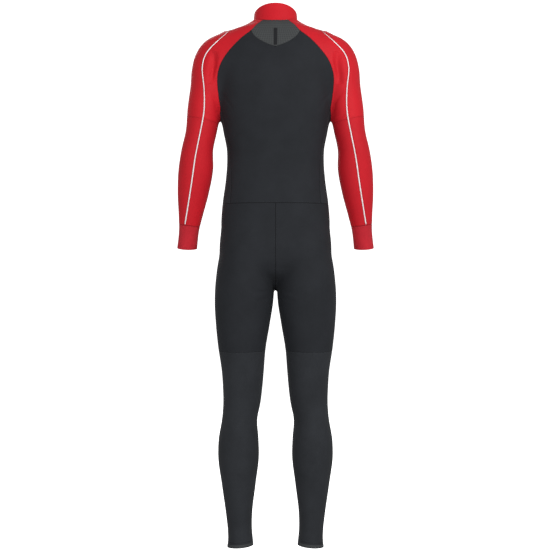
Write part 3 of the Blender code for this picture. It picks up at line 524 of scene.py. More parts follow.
@dataclass(frozen=True)
class Hemmed(Knit):
    """A knit with a lighter strip near its free edge."""

    strip: Colour = (0.060, 0.064, 0.068)
    strip_from: float = 0.0015
    strip_to: float = 0.0085

    def trim(self, graph: Graph, colour: object):
        """The colour with the lighter strip along the free edge."""
        edge = graph.add("ShaderNodeAttribute", out="Fac", attribute_name="edge")
        soft = 0.0008
        inner = graph.ramp(edge, self.strip_from, self.strip_from + soft)
        outer = graph.ramp(edge, self.strip_to, self.strip_to + soft, 1.0, 0.0)
        return graph.mix(graph.math("MULTIPLY", inner, outer), colour, self.strip)


# Each knit's seam factor darkens its colour along its seams, as painted shade in the seam's groove.
BLACK = Knit(
    "black_jersey", (0.0176, 0.0194, 0.0231), roughness=0.78, sheen=0.02, specular=0.16, seam_tint=0.50,
    seam_width=0.0020,
)
BRUSHED = Knit(
    "black_brushed", (0.0228, 0.0250, 0.0290), roughness=0.88, sheen=0.04, specular=0.14, grain=0.14,
    mottle=0.09, seam_tint=0.50, seam_width=0.0020,
)
# Its seam factor above 1 makes the line along its seams lighter, not darker.
SHIN = Knit(
    "black_brushed_leg", (0.0240, 0.0262, 0.0302), roughness=0.88, sheen=0.05, specular=0.14, grain=0.20,
    mottle=0.12, seam_tint=1.35, seam_width=0.0020,
)
NET = Net(
    "grey_mesh", (0.067, 0.071, 0.0725), roughness=0.85, specular=0.16, wale=0.0055, course=0.0055,
    relief=0.0002, seam_tint=0.60,
)
RED = Knit(
    "red_jersey", (0.5764, 0.0097, 0.0189), roughness=0.62, sheen=0.02, specular=0.18, mottle=0.05,
    seam_tint=0.80, seam_width=0.0014,
)
# Painted shade: a darker copy of the red jersey for the lower sleeves, standing in for the shade that falls
# there; the cloth is the same red jersey.
RED_SHADED = Knit(
    "red_jersey_lower", (0.5340, 0.0093, 0.0182), roughness=0.64, sheen=0.02, specular=0.18, mottle=0.05,
    seam_tint=0.80, seam_width=0.0014,
)
RED_RIB = Rib(
    "red_rib", (0.500, 0.0190, 0.0310), roughness=0.85, sheen=0.06, specular=0.16, wale=0.0022, relief=0.0004,
    seam_tint=0.40, seam_width=0.0024,
)
HEM = Hemmed(
    "black_hem", (0.0225, 0.0246, 0.0285), roughness=0.78, sheen=0.02, specular=0.16, seam_tint=0.40,
    strip=(0.046, 0.049, 0.051),
)
PIPING = Cord("white_piping", (0.92, 0.92, 0.93), roughness=0.5, specular=0.3)
TAPE = Knit("zip_tape", (0.0170, 0.0175, 0.0195), roughness=0.85, specular=0.16, wale=0.0012, course=0.0007)
COIL = Finish("zip_coil", (0.014, 0.014, 0.016), roughness=0.4, specular=0.5)
METAL = Worn("zip_metal", (0.075, 0.076, 0.080), roughness=0.32, metallic=0.85, specular=0.5)
BLACK_THREAD = Finish("black_thread", (0.0240, 0.0260, 0.0300), roughness=0.55)
RED_THREAD = Finish("red_thread", (0.38, 0.0080, 0.0150), roughness=0.55)

SLOTS = {RED_SHADED: "red_jersey", SHIN: "black_brushed", HEM: "black_jersey", COIL: "zip_tape",
         BLACK_THREAD: "black_jersey", RED_THREAD: "red_jersey"}


def new_object(name: str, mesh: bpy.types.Mesh, finish: Finish) -> bpy.types.Object:
    """An object with one material, linked to the scene.

    Args:
        name: the piece's name.
        mesh: its mesh, in place.
        finish: its finish.

    Returns:
        The object, at the origin.
    """
    mesh.materials.clear()
    mesh.materials.append(finish.material())
    piece = bpy.data.objects.new(name, mesh)
    bpy.context.scene.collection.objects.link(piece)
    return piece


def plain_mesh(piece: bpy.types.Object) -> bpy.types.Mesh:
    """The object's mesh as its modifiers leave it, with the modifiers taken off."""
    graph = bpy.context.evaluated_depsgraph_get()
    mesh = bpy.data.meshes.new_from_object(piece.evaluated_get(graph))
    piece.modifiers.clear()
    return mesh


def coordinates(mesh: bpy.types.Mesh) -> np.ndarray:
    """The mesh's points as rows of x, y and z."""
    values = np.empty(len(mesh.vertices) * 3)
    mesh.vertices.foreach_get("co", values)
    return values.reshape(-1, 3)


def flat_measures(mesh: bpy.types.Mesh) -> None:
    """Gives a narrow flat piece the cloth's measures, with no seam near any point."""
    points = coordinates(mesh)
    corners = np.empty(len(mesh.loops), int)
    mesh.loops.foreach_get("vertex_index", corners)
    layer = mesh.uv_layers.new(name="cloth")
    layer.data.foreach_set("uv", points[corners][:, (0, 2)].astype(np.float32).ravel())
    far = np.full(len(points), 0.05, np.float32)
    for name in ("seam", "edge"):
        mesh.attributes.new(name, "FLOAT", "POINT").data.foreach_set("value", far)


def present(piece: bpy.types.Object, finish: Finish, body: str = SUIT, nodes: tuple = ()) -> None:
    """Hangs a finished piece on its body, hides the solids that it stands for, and logs it.

    Args:
        piece: the finished piece.
        finish: its finish; not used.
        body: the body that it moves with.
        nodes: the solids that it replaces.
    """
    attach(piece, body)
    if nodes:
        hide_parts(*nodes)
    SLOTS.get(finish, finish.name)
    triangles = sum(len(face.vertices) - 2 for face in piece.data.polygons)
    LOG.info("%s: %d triangles", piece.name, triangles)


@dataclass(frozen=True)
class Crease:
    """A soft fold: a trough with low banks, from one point to another across the cloth."""

    start: Point
    end: Point
    width: float
    depth: float
    bow: Point = (0.0, 0.0, 0.0)

    REACH = 3.0
    STEPS = 25
    BANKS = 0.7
    FADE = 0.6

    def lift(self, points: np.ndarray, hand: int) -> np.ndarray:
        """How far each point is moved out, below zero for in.

        Args:
            points: points on the cloth.
            hand: 1 for the crease as given, -1 for its mirror image.

        Returns:
            A length for each point.
        """
        flip = np.array((hand, 1, 1))
        start, end, bow = (np.array(value) * flip for value in (self.start, self.end, self.bow))
        lift = np.zeros(len(points))
        reach = self.REACH * self.width
        low = np.minimum(start, end) - reach - np.abs(bow)
        high = np.maximum(start, end) + reach + np.abs(bow)
        near = np.flatnonzero(((points > low) & (points < high)).all(axis=1))
        if not len(near):
            return lift
        best, at = np.full(len(near), 1e9), np.zeros(len(near))
        shares = np.linspace(0, 1, self.STEPS)
        bows = np.outer(4 * shares * (1 - shares), bow)
        places = FIGURE.settle(start + np.outer(shares, end - start) + bows)
        for share, place in zip(shares, places):
            gap = np.linalg.norm(points[near] - place, axis=1)
            closer = gap < best
            best, at = np.where(closer, gap, best), np.where(closer, share, at)
        across = (best / self.width) ** 2
        fade = np.sin(np.pi * np.clip(at, 0, 1)) ** self.FADE
        lift[near] = -self.depth * (1 - self.BANKS * across) * np.exp(-across) * fade
        return lift


@dataclass
class Panel:
    """One cut piece of cloth: a thin shell on the outer face of its solid."""

    node: str
    finish: Finish
    limb: Limb
    flat: tuple[float, float]
    area: float
    level: int = 3
    wall: float = 0.0012
    groove: float = 0.0004
    rim: float = 0.0012
    on_figure: bool = True
    topstitched: bool = False
    shape: bmesh.types.BMesh | None = field(default=None, repr=False)
    points: np.ndarray | None = field(default=None, repr=False)
    border: list = field(default_factory=list, repr=False)
    rows: list = field(default_factory=list, repr=False)

    FACING_OUT = 0.5
    INNER_SIDE = 0.35
    CORNER = math.radians(24)
    FLAT_JOIN = math.radians(50), math.radians(70)
    SHARP = math.radians(55)
    SHORT_OF_NEXT = 0.45

    def pick_outer(self, shape: bmesh.types.BMesh) -> list:
        """The faces of the solid that don't lie on its outer side."""
        middles = np.array([face.calc_center_median() for face in shape.faces])
        if self.on_figure:
            out = FIGURE.normals(middles)
        else:
            out = (middles - (0, middles[:, 1].mean(), 0)) * (1, 1, 0)
            out /= np.linalg.norm(out, axis=1, keepdims=True)
        turned = np.array([face.normal for face in shape.faces])
        inner = (turned * out).sum(axis=1) < self.FACING_OUT
        if self.on_figure:
            depths = FIGURE.distance(np.array([vert.co for vert in shape.verts]))
            deep = depths < -self.INNER_SIDE * self.wall
            inner |= np.array([any(deep[vert.index] for vert in face.verts) for face in shape.faces])
        return [face for face, left_out in zip(shape.faces, inner) if left_out]

    def lay(self, nodes: dict) -> None:
        """Makes the outer skin from the solid: its outer face, subdivided and settled.

        Args:
            nodes: the frame's nodes by name.
        """
        shape = bmesh.new()
        shape.from_mesh(nodes[self.node].data)
        bmesh.ops.remove_doubles(shape, verts=shape.verts, dist=MERGE)
        shape.verts.index_update()
        bmesh.ops.delete(shape, geom=self.pick_outer(shape), context="FACES")
        flat, square = self.FLAT_JOIN
        bmesh.ops.join_triangles(
            shape, faces=shape.faces, angle_face_threshold=flat, angle_shape_threshold=square
        )
        self.keep_corners(shape)
        mesh = bpy.data.meshes.new(self.node + "_skin")
        shape.to_mesh(mesh)
        shape.free()
        piece = new_object(self.node + "_skin", mesh, self.finish)
        smooth = piece.modifiers.new("smooth", "SUBSURF")
        smooth.levels = smooth.render_levels = self.level
        smooth.boundary_smooth = "PRESERVE_CORNERS"
        fine = plain_mesh(piece)
        bpy.data.objects.remove(piece)
        shape = bmesh.new()
        shape.from_mesh(fine)
        points = coordinates(fine)
        if self.on_figure:
            points = FIGURE.settle(points)
        for vert, place in zip(shape.verts, points):
            vert.co = place
        self.add_rim(shape)
        shape.verts.index_update()
        shape.normal_update()
        self.shape = shape
        self.points = np.array([vert.co for vert in shape.verts])
        if self.on_figure:
            self.points = FIGURE.settle(self.points, rounds=2)
        self.border = [vert.index for vert in shape.verts if vert.is_boundary]

    def add_rim(self, shape: bmesh.types.BMesh) -> None:
        """Adds a narrow ring of faces along the panel's edge, short of the next row of points.

        Args:
            shape: the panel's fine mesh.
        """
        bmesh.ops.inset_region(shape, faces=shape.faces, thickness=0.00001, use_boundary=True)
        pairs = {}
        for vert in shape.verts:
            if vert.is_boundary:
                for edge in vert.link_edges:
                    if not edge.is_boundary:
                        pairs[edge.other_vert(vert)] = vert
        places = {}
        for ring, outer in pairs.items():
            beyond = [edge.other_vert(ring) for edge in ring.link_edges]
            beyond = [vert.co for vert in beyond if vert is not outer and vert not in pairs]
            if not beyond:
                beyond = [face.calc_center_median() for face in ring.link_faces if outer not in face.verts]
            step = sum(beyond, Vector()) / len(beyond) - outer.co
            places[ring] = outer.co + step * min(self.rim / max(step.length, 1e-7), self.SHORT_OF_NEXT)
        for ring, place in places.items():
            ring.co = place

    def keep_corners(self, shape: bmesh.types.BMesh) -> None:
        """Marks the corners of the panel's edge, so that subdivision leaves them sharp.

        Args:
            shape: the panel's coarse mesh.
        """
        sharp = shape.verts.layers.float.new("crease_vert")
        for vert in shape.verts:
            ends = [edge.other_vert(vert).co - vert.co for edge in vert.link_edges if edge.is_boundary]
            if len(ends) == 2 and ends[0].angle(-ends[1]) > self.CORNER:
                vert[sharp] = 1.0

    def edge_loops(self) -> list[np.ndarray]:
        """The panel's edge as closed loops of point numbers."""
        beside: dict[int, list[int]] = {}
        for edge in self.shape.edges:
            if edge.is_boundary:
                first, last = (vert.index for vert in edge.verts)
                beside.setdefault(first, []).append(last)
                beside.setdefault(last, []).append(first)
        loops = []
        while beside:
            at, loop = next(iter(beside)), []
            while at is not None:
                loop.append(at)
                at = next((near for near in beside.pop(at) if near in beside), None)
            loops.append(np.array(loop))
        return loops

    def border_line(self) -> np.ndarray:
        """Points every millimetre or so along the panel's edge."""
        steps = []
        for edge in self.shape.edges:
            if edge.is_boundary:
                first, last = (self.points[vert.index] for vert in edge.verts)
                count = max(2, int(np.linalg.norm(last - first) / 0.001))
                share = np.linspace(0, 1, count, endpoint=False)[:, None]
                steps.append(first * (1 - share) + last * share)
        return np.concatenate(steps)


def tree_of(points: np.ndarray) -> KDTree:
    """A search tree over points."""
    tree = KDTree(len(points))
    for number, point in enumerate(points):
        tree.insert(point, number)
    tree.balance()
    return tree


def gaps_to(points: np.ndarray, tree: KDTree | None, far: float = 0.05) -> np.ndarray:
    """How far each point is from the nearest one in a tree, at most far."""
    if tree is None:
        return np.full(len(points), far)
    return np.array([min(tree.find(point)[2], far) for point in points])


class Cutting:
    """All the cloth panels, with what they know of each other's edges."""

    SEAM_REACH = 0.0016
    TUCK = 0.00010
    # How far the piping reaches over the cloth, where its painted shadow line begins.
    CORD_REACH = 0.0024
    ALLOWANCE = 0.0030
    ALLOWANCE_UNDER = 0.0003
    ROW_IN = 0.0024
    ROW_IN_BY_CORD = 0.0038
    ROW_CLEAR = 0.8
    ROW_UP = 0.00005
    CREASE_FULL_FROM = 0.012
    CREASE_AT_SEAM = 0.15
    EDGE_FAR = 0.05

    def __init__(self, panels: list[Panel], creases: list[Crease]) -> None:
        """Keeps the panels and the creases that run across them."""
        self.panels = panels
        self.creases = creases

    def lay_all(self, nodes: dict) -> None:
        """Lays every panel on its solid.

        Args:
            nodes: the frame's nodes by name.
        """
        for panel in self.panels:
            panel.lay(nodes)

    @staticmethod
    def corded(first: str, second: str) -> bool:
        """Whether the seam between two panels has the piping in it."""
        parts = all(word in first + second for word in ("sleeve", "back", "front"))
        return parts and first[:12] == second[:12]

    def finish_all(self) -> Iterator[tuple[Panel, bpy.types.Object]]:
        """Gives each panel its seams, creases and wall.

        Yields:
            The panel and its finished piece.
        """
        lines = [panel.border_line() for panel in self.panels]
        trees = [tree_of(line) for line in lines]
        for number, panel in enumerate(self.panels):
            mates = self.mates_of(lines[number], number, lines, trees)
            at_border = self.mates_of(panel.points[panel.border], number, lines, trees)
            yield panel, self.finish(number, lines[number], mates, dict(zip(panel.border, at_border)))

    def mates_of(self, points: np.ndarray, number: int, lines: list, trees: list) -> np.ndarray:
        """Which other panel each point of a panel's edge is sewn to.

        Args:
            points: points on the edge.
            number: the panel's own number.
            lines: the edge lines of all panels.
            trees: a search tree for each of them.

        Returns:
            The other panel's number for each point, or -1 where the edge is free.
        """
        mates, best = np.full(len(points), -1), np.full(len(points), self.SEAM_REACH)
        for other, tree in enumerate(trees):
            low, high = lines[other].min(axis=0) - 0.002, lines[other].max(axis=0) + 0.002
            near = ((points > low) & (points < high)).all(axis=1)
            if other == number or not near.any():
                continue
            for at in np.flatnonzero(near):
                gap = tree.find(points[at])[2]
                if gap < best[at]:
                    mates[at], best[at] = other, gap
        return mates

    def crease_lift(self, points: np.ndarray, seam_gap: np.ndarray) -> np.ndarray:
        """How far the creases move points out, less so near a seam."""
        lift = np.zeros(len(points))
        for crease in self.creases:
            for side in Side:
                lift += crease.lift(points, side.value)
        return lift * np.clip(seam_gap / self.CREASE_FULL_FROM, self.CREASE_AT_SEAM, 1.0)

    def finish(self, number: int, line: np.ndarray, mates: np.ndarray, at_border: dict) -> bpy.types.Object:
        """Gives one panel its seam grooves, creases, measures and wall.

        Args:
            number: the panel's number.
            line: points along its edge.
            mates: the panel that each of them is sewn to, or -1.
            at_border: the same for its own border points, by their number.

        Returns:
            The finished piece.
        """
        panel = self.panels[number]
        points, shape = panel.points, panel.shape
        cord_mates = [n for n, other in enumerate(self.panels) if self.corded(panel.node, other.node)]
        by_cord = np.isin(mates, cord_mates)
        trees = [tree_of(line[part]) if part.any() else None
                 for part in ((mates >= 0) & ~by_cord, by_cord, mates < 0)]
        plain_gap, cord_gap, edge_gap = (gaps_to(points, tree) for tree in trees)
        seam_gap = np.minimum(plain_gap, cord_gap)
        # Painted shadow beside the piping: the gap to a piped seam is shortened by the cord's reach, so the
        # darker seam line falls just beside the cord instead of under it.
        seam_shade_gap = np.minimum(plain_gap, cord_gap - self.CORD_REACH)
        normals = FIGURE.normals(points) if panel.on_figure else np.array([v.normal for v in shape.verts])
        lift = self.crease_lift(points, seam_gap) if panel.on_figure else np.zeros(len(points))
        sewn = np.array([at for at in panel.border if at_border[at] >= 0], int)
        lift[sewn] -= panel.groove
        moved = points + normals * lift[:, None]
        inward = self.inward_at(panel, points)
        for at in sewn:
            moved[at] -= inward[at] * self.TUCK
        for vert, place in zip(shape.verts, moved):
            vert.co = place
        panel.rows = self.stitch_rows(panel, points, inward, at_border, cord_mates)
        extra = self.add_allowance(number, moved, normals, inward, at_border)
        points = np.concatenate([points, extra])
        layer = shape.loops.layers.uv.new("cloth")
        self.measure(panel, points, layer)
        mesh = bpy.data.meshes.new(panel.node)
        shape.to_mesh(mesh)
        for name, values, filler in (("seam", seam_shade_gap, 0.0), ("edge", edge_gap, self.EDGE_FAR)):
            values = np.concatenate([values, np.full(len(extra), filler)])
            mesh.attributes.new(name, "FLOAT", "POINT").data.foreach_set("value", values.astype(np.float32))
        piece = new_object(panel.node + "_cloth", mesh, panel.finish)
        wall = piece.modifiers.new("wall", "SOLIDIFY")
        wall.thickness, wall.offset = panel.wall, -1.0
        solid = plain_mesh(piece)
        solid.shade_smooth()
        solid.set_sharp_from_angle(angle=panel.SHARP)
        piece.data = solid
        solid.name = piece.name
        return piece

    @staticmethod
    def inward_at(panel: Panel, points: np.ndarray) -> dict:
        """The direction into the panel at each of its border points."""
        panel.shape.verts.ensure_lookup_table()
        inward = {}
        for at in panel.border:
            vert = panel.shape.verts[at]
            inner = [points[edge.other_vert(vert).index] for edge in vert.link_edges if not edge.is_boundary]
            step = np.mean(inner, axis=0) - points[at] if inner else np.zeros(3)
            inward[at] = step / max(np.linalg.norm(step), 1e-6)
        return inward

    def add_allowance(
        self, number: int, points: np.ndarray, normals: np.ndarray, inward: dict, at_border: dict
    ) -> np.ndarray:
        """Adds the seam allowances: strips of the same cloth behind each seam.

        Args:
            number: the panel's number.
            points: its points.
            normals: the outward direction at each.
            inward: the direction into the panel at each border point.
            at_border: which panel each border point is sewn to.

        Returns:
            The added points.
        """
        panel, added = self.panels[number], []
        depth = panel.wall + self.ALLOWANCE_UNDER
        for loop in panel.edge_loops():
            strips = {}
            for at in loop:
                if at_border[at] > number:
                    base = points[at] - normals[at] * depth
                    places = base + inward[at] * self.ALLOWANCE, base - inward[at] * self.ALLOWANCE
                    strips[at] = [panel.shape.verts.new(place) for place in places]
                    added.extend(places)
            for here, after in zip(loop, np.roll(loop, -1)):
                if here not in strips or after not in strips:
                    continue
                ring = [strips[here][0], strips[here][1], strips[after][1], strips[after][0]]
                face = panel.shape.faces.new(ring)
                face.normal_update()
                if face.normal.dot(Vector(normals[here])) < 0:
                    face.normal_flip()
        panel.shape.verts.index_update()
        return np.array(added).reshape(-1, 3)

    def stitch_rows(
        self, panel: Panel, points: np.ndarray, inward: dict, at_border: dict, cords: list
    ) -> list[np.ndarray]:
        """The rows of stitches inside a panel's sewn edges.

        Args:
            panel: the panel.
            points: its points.
            inward: the direction into the panel at each border point.
            at_border: which panel each border point is sewn to.
            cords: the panels that share a seam with piping in it.

        Returns:
            A line of points for each row.
        """
        border = tree_of(points[panel.border])
        rows = []
        for loop in panel.edge_loops():
            row = []
            for at in [*loop, loop[0]]:
                mate = at_border[at]
                deep = self.ROW_IN_BY_CORD if mate in cords else self.ROW_IN
                place = points[at] + inward[at] * deep
                held = mate >= 0 or panel.topstitched
                if held and border.find(place)[2] > self.ROW_CLEAR * deep:
                    row.append(place)
                    continue
                if len(row) > 1:
                    rows.append(row)
                row = []
            if len(row) > 1:
                rows.append(row)
        lines = []
        for row in rows:
            line = np.array(row)
            if panel.on_figure:
                line = FIGURE.settle(line)
                lift = self.crease_lift(line, np.full(len(line), self.ROW_IN))
                line = line + FIGURE.normals(line) * (lift + self.ROW_UP)[:, None]
            lines.append(line)
        return lines

    def measure(self, panel: Panel, points: np.ndarray, layer: object) -> None:
        """Writes the cloth's own measures, round it and along it, in metres.

        Args:
            panel: the panel whose faces get them.
            points: its points.
            layer: the layer that takes them.
        """
        middle = FIGURE.middle(panel.limb, points)
        angle = np.arctan2(points[:, 0] - middle[:, 0], points[:, 1] - middle[:, 1])
        for face in panel.shape.faces:
            turns = np.array([angle[vert.index] for vert in face.verts])
            turns = turns[0] + (turns - turns[0] + math.pi) % (2 * math.pi) - math.pi
            for loop, turn in zip(face.loops, turns):
                loop[layer].uv = (turn * panel.limb.value, points[loop.vert.index, 2])


CREASES = [
    Crease((0.176, 0.100, -0.094), (0.172, 0.078, -0.192), 0.0130, 0.0085, bow=(-0.003, 0.004, 0.0)),
    Crease((0.176, -0.082, -0.110), (0.172, -0.062, -0.200), 0.0130, 0.0040, bow=(-0.003, -0.004, 0.0)),
    Crease((0.150, 0.060, -0.215), (0.120, 0.085, -0.262), 0.0060, 0.0012, bow=(0.004, 0.004, 0.004)),
    Crease((0.158, 0.052, -0.235), (0.135, 0.078, -0.300), 0.0080, 0.0010, bow=(0.006, 0.003, 0.0)),
    Crease((0.160, 0.040, -0.245), (0.186, 0.060, -0.205), 0.0070, 0.0012, bow=(0.0, 0.006, 0.0)),
    Crease((0.162, 0.050, -0.290), (0.205, 0.060, -0.262), 0.0080, 0.0010, bow=(0.0, 0.006, 0.004)),
    Crease((0.150, -0.060, -0.225), (0.115, -0.100, -0.270), 0.0070, 0.0012, bow=(0.004, -0.004, 0.004)),
    Crease((0.160, -0.035, -0.250), (0.190, -0.048, -0.215), 0.0070, 0.0011, bow=(0.0, -0.006, 0.0)),
    Crease((0.172, -0.030, -0.345), (0.238, -0.036, -0.332), 0.0080, 0.0014, bow=(0.0, -0.012, 0.002)),
    Crease((0.170, -0.020, -0.372), (0.225, -0.044, -0.362), 0.0070, 0.0012, bow=(0.0, -0.010, -0.003)),
    Crease((0.176, -0.028, -0.398), (0.215, -0.050, -0.404), 0.0080, 0.0010, bow=(0.0, -0.008, 0.002)),
    Crease((0.205, 0.052, -0.352), (0.250, 0.036, -0.340), 0.0090, 0.0008, bow=(0.0, 0.008, 0.0)),
    Crease((0.016, 0.066, -0.748), (0.070, 0.102, -0.738), 0.0080, 0.0012, bow=(0.0, 0.012, -0.010)),
    Crease((0.012, 0.048, -0.765), (0.052, 0.094, -0.778), 0.0070, 0.0010, bow=(0.0, 0.014, -0.002)),
    Crease((0.014, -0.055, -0.735), (0.070, -0.096, -0.690), 0.0080, 0.0014, bow=(0.0, -0.012, -0.004)),
    Crease((0.012, -0.048, -0.752), (0.062, -0.092, -0.735), 0.0070, 0.0012, bow=(0.0, -0.012, -0.002)),
    Crease((0.055, 0.058, -0.985), (0.118, 0.058, -0.978), 0.0080, 0.0012, bow=(0.0, 0.012, -0.003)),
    Crease((0.060, 0.050, -1.012), (0.128, 0.050, -1.020), 0.0080, 0.0014, bow=(0.0, 0.012, 0.003)),
    Crease((0.064, 0.048, -1.042), (0.122, 0.048, -1.034), 0.0070, 0.0009, bow=(0.0, 0.012, 0.0)),
    Crease((0.072, -0.034, -1.395), (0.118, -0.036, -1.402), 0.0070, 0.0009, bow=(0.0, -0.012, 0.0)),
    Crease((0.074, 0.036, -1.412), (0.120, 0.036, -1.404), 0.0070, 0.0008, bow=(0.0, 0.012, 0.0)),
]


# Rows: node, finish, what it goes round, flat size, flat area, and what it has of its own
MIDDLE_PIECES = (
    ("back_panel", BLACK, Limb.TRUNK, (0.36, 0.48), 0.130, {}),
    ("yoke_mesh", NET, Limb.NAPE, (0.15, 0.09), 0.0090, {"wall": 0.0010}),
    (
        "collar", RED, Limb.NECK, (0.37, 0.048), 0.0134,
        {"wall": 0.0020, "on_figure": False, "topstitched": True},
    ),
)
PAIRED_PIECES = (
    (
        ("front", BLACK, Limb.TRUNK, (0.18, 0.48), 0.061, {"topstitched": True}),
        ("side_panel", BRUSHED, Limb.TRUNK, (0.13, 0.27), 0.0246, {}),
    ),
    (
        ("sleeve_upper_back", RED, Limb.ARM, (0.11, 0.32), 0.0223, {}),
        ("sleeve_upper_front", RED, Limb.ARM, (0.26, 0.31), 0.0595, {}),
        ("sleeve_lower_back", RED_SHADED, Limb.ARM, (0.09, 0.31), 0.0202, {}),
        ("sleeve_lower_front", RED_SHADED, Limb.ARM, (0.23, 0.31), 0.0585, {}),
        ("cuff", RED_RIB, Limb.ARM, (0.185, 0.066), 0.0117, {"wall": 0.0016, "groove": 0.0010}),
    ),
    (
        ("thigh_back", BLACK, Limb.LEG, (0.27, 0.44), 0.0920, {}),
        ("thigh_front", BLACK, Limb.LEG, (0.23, 0.42), 0.0735, {}),
        ("thigh_stripe", RED, Limb.LEG, (0.065, 0.41), 0.0230, {}),
        ("lower_leg", SHIN, Limb.LEG, (0.44, 0.53), 0.172, {"level": 2, "groove": 0.0002}),
        ("ankle_band", HEM, Limb.LEG, (0.26, 0.017), 0.0041, {}),
    ),
)


def cut_panels() -> list[Panel]:
    """The panels of the trunk, the sleeves and the legs, in the order in which they are sewn."""
    panels = [Panel(*facts, **own) for *facts, own in MIDDLE_PIECES]
    for pieces in PAIRED_PIECES:
        for side in Side:
            panels.extend(Panel(f"{name}_{side.word}", *facts, **own) for name, *facts, own in pieces)
    return panels


def smooth_line(points: np.ndarray, step: float) -> np.ndarray:
    """A smooth curve through points, given again at even steps.

    Args:
        points: the points, in order.
        step: how far apart the new ones are, about.

    Returns:
        The new points.
    """
    lengths = np.concatenate([[0], np.cumsum(np.linalg.norm(np.diff(points, axis=0), axis=1))])
    return on_curve(lengths, points, np.linspace(0, lengths[-1], max(2, round(lengths[-1] / step) + 1)))


def merged_copy(node: bpy.types.Object) -> bmesh.types.BMesh:
    """A solid's mesh with its loose triangles joined at their corners."""
    shape = bmesh.new()
    shape.from_mesh(node.data)
    bmesh.ops.remove_doubles(shape, verts=shape.verts, dist=MERGE)
    return shape


def tube(sections: np.ndarray, name: str) -> bpy.types.Mesh:
    """A closed mesh through sections.

    Args:
        sections: rows of points, each with the same count of points round it.
        name: the mesh's name.

    Returns:
        The mesh, with its faces turned outwards.
    """
    rows, sides = sections.shape[:2]
    shape = bmesh.new()
    verts = [[shape.verts.new(point) for point in row] for row in sections]
    for row in range(rows - 1):
        for side in range(sides):
            after = (side + 1) % sides
            near, far = verts[row], verts[row + 1]
            shape.faces.new((near[side], near[after], far[after], far[side]))
    shape.faces.new(verts[0][::-1])
    shape.faces.new(verts[-1])
    bmesh.ops.recalc_face_normals(shape, faces=shape.faces)
    mesh = bpy.data.meshes.new(name)
    shape.to_mesh(mesh)
    shape.free()
    mesh.shade_smooth()
    mesh.set_sharp_from_angle(angle=math.radians(50))
    return mesh


@dataclass
class Piping:
    """The piping in the sleeve's seam: a cord in a folded strip."""

    side: Side
    level: int = 2
    sunk: float = 0.0009
    flat: tuple[float, float] = (0.014, 0.62)
    area: float = 0.0031

    def build(self, nodes: dict) -> bpy.types.Object:
        """Makes it from its solid, rounded and sunk into the seam."""
        name = f"piping_{self.side.word}"
        shape = merged_copy(nodes[name])
        bmesh.ops.join_triangles(
            shape, faces=shape.faces, angle_face_threshold=math.radians(30),
            angle_shape_threshold=math.radians(80),
        )
        mesh = bpy.data.meshes.new(name)
        shape.to_mesh(mesh)
        shape.free()
        piece = new_object(name + "_cord", mesh, PIPING)
        smooth = piece.modifiers.new("smooth", "SUBSURF")
        smooth.levels = smooth.render_levels = self.level
        piece.data = plain_mesh(piece)
        points = coordinates(piece.data)
        points -= FIGURE.normals(points) * self.sunk
        piece.data.vertices.foreach_set("co", points.ravel())
        piece.data.update()
        piece.data.shade_smooth()
        present(piece, PIPING, nodes=(name,))
        return piece


@dataclass
class Trim:
    """A small piece with the form of its solid and softened edges."""

    node: str
    finish: Finish
    body: str = SUIT
    bevel: float = 0.00022
    steps: int = 3

    def build(self, nodes: dict) -> bpy.types.Object:
        """Makes it from its solid, with its edges rounded off."""
        shape = merged_copy(nodes[self.node])
        bmesh.ops.dissolve_limit(
            shape, angle_limit=math.radians(1.5), use_dissolve_boundaries=False,
            verts=shape.verts, edges=shape.edges, delimit=set(),
        )
        mesh = bpy.data.meshes.new(self.node)
        shape.to_mesh(mesh)
        shape.free()
        piece = new_object(self.node + "_piece", mesh, self.finish)
        soften = piece.modifiers.new("soften", "BEVEL")
        soften.width, soften.segments = self.bevel, self.steps
        soften.limit_method, soften.angle_limit = "ANGLE", math.radians(35)
        piece.data = plain_mesh(piece)
        flat_measures(piece.data)
        piece.data.shade_smooth()
        piece.data.set_sharp_from_angle(angle=math.radians(35))
        present(piece, self.finish, self.body, (self.node,))
        return piece


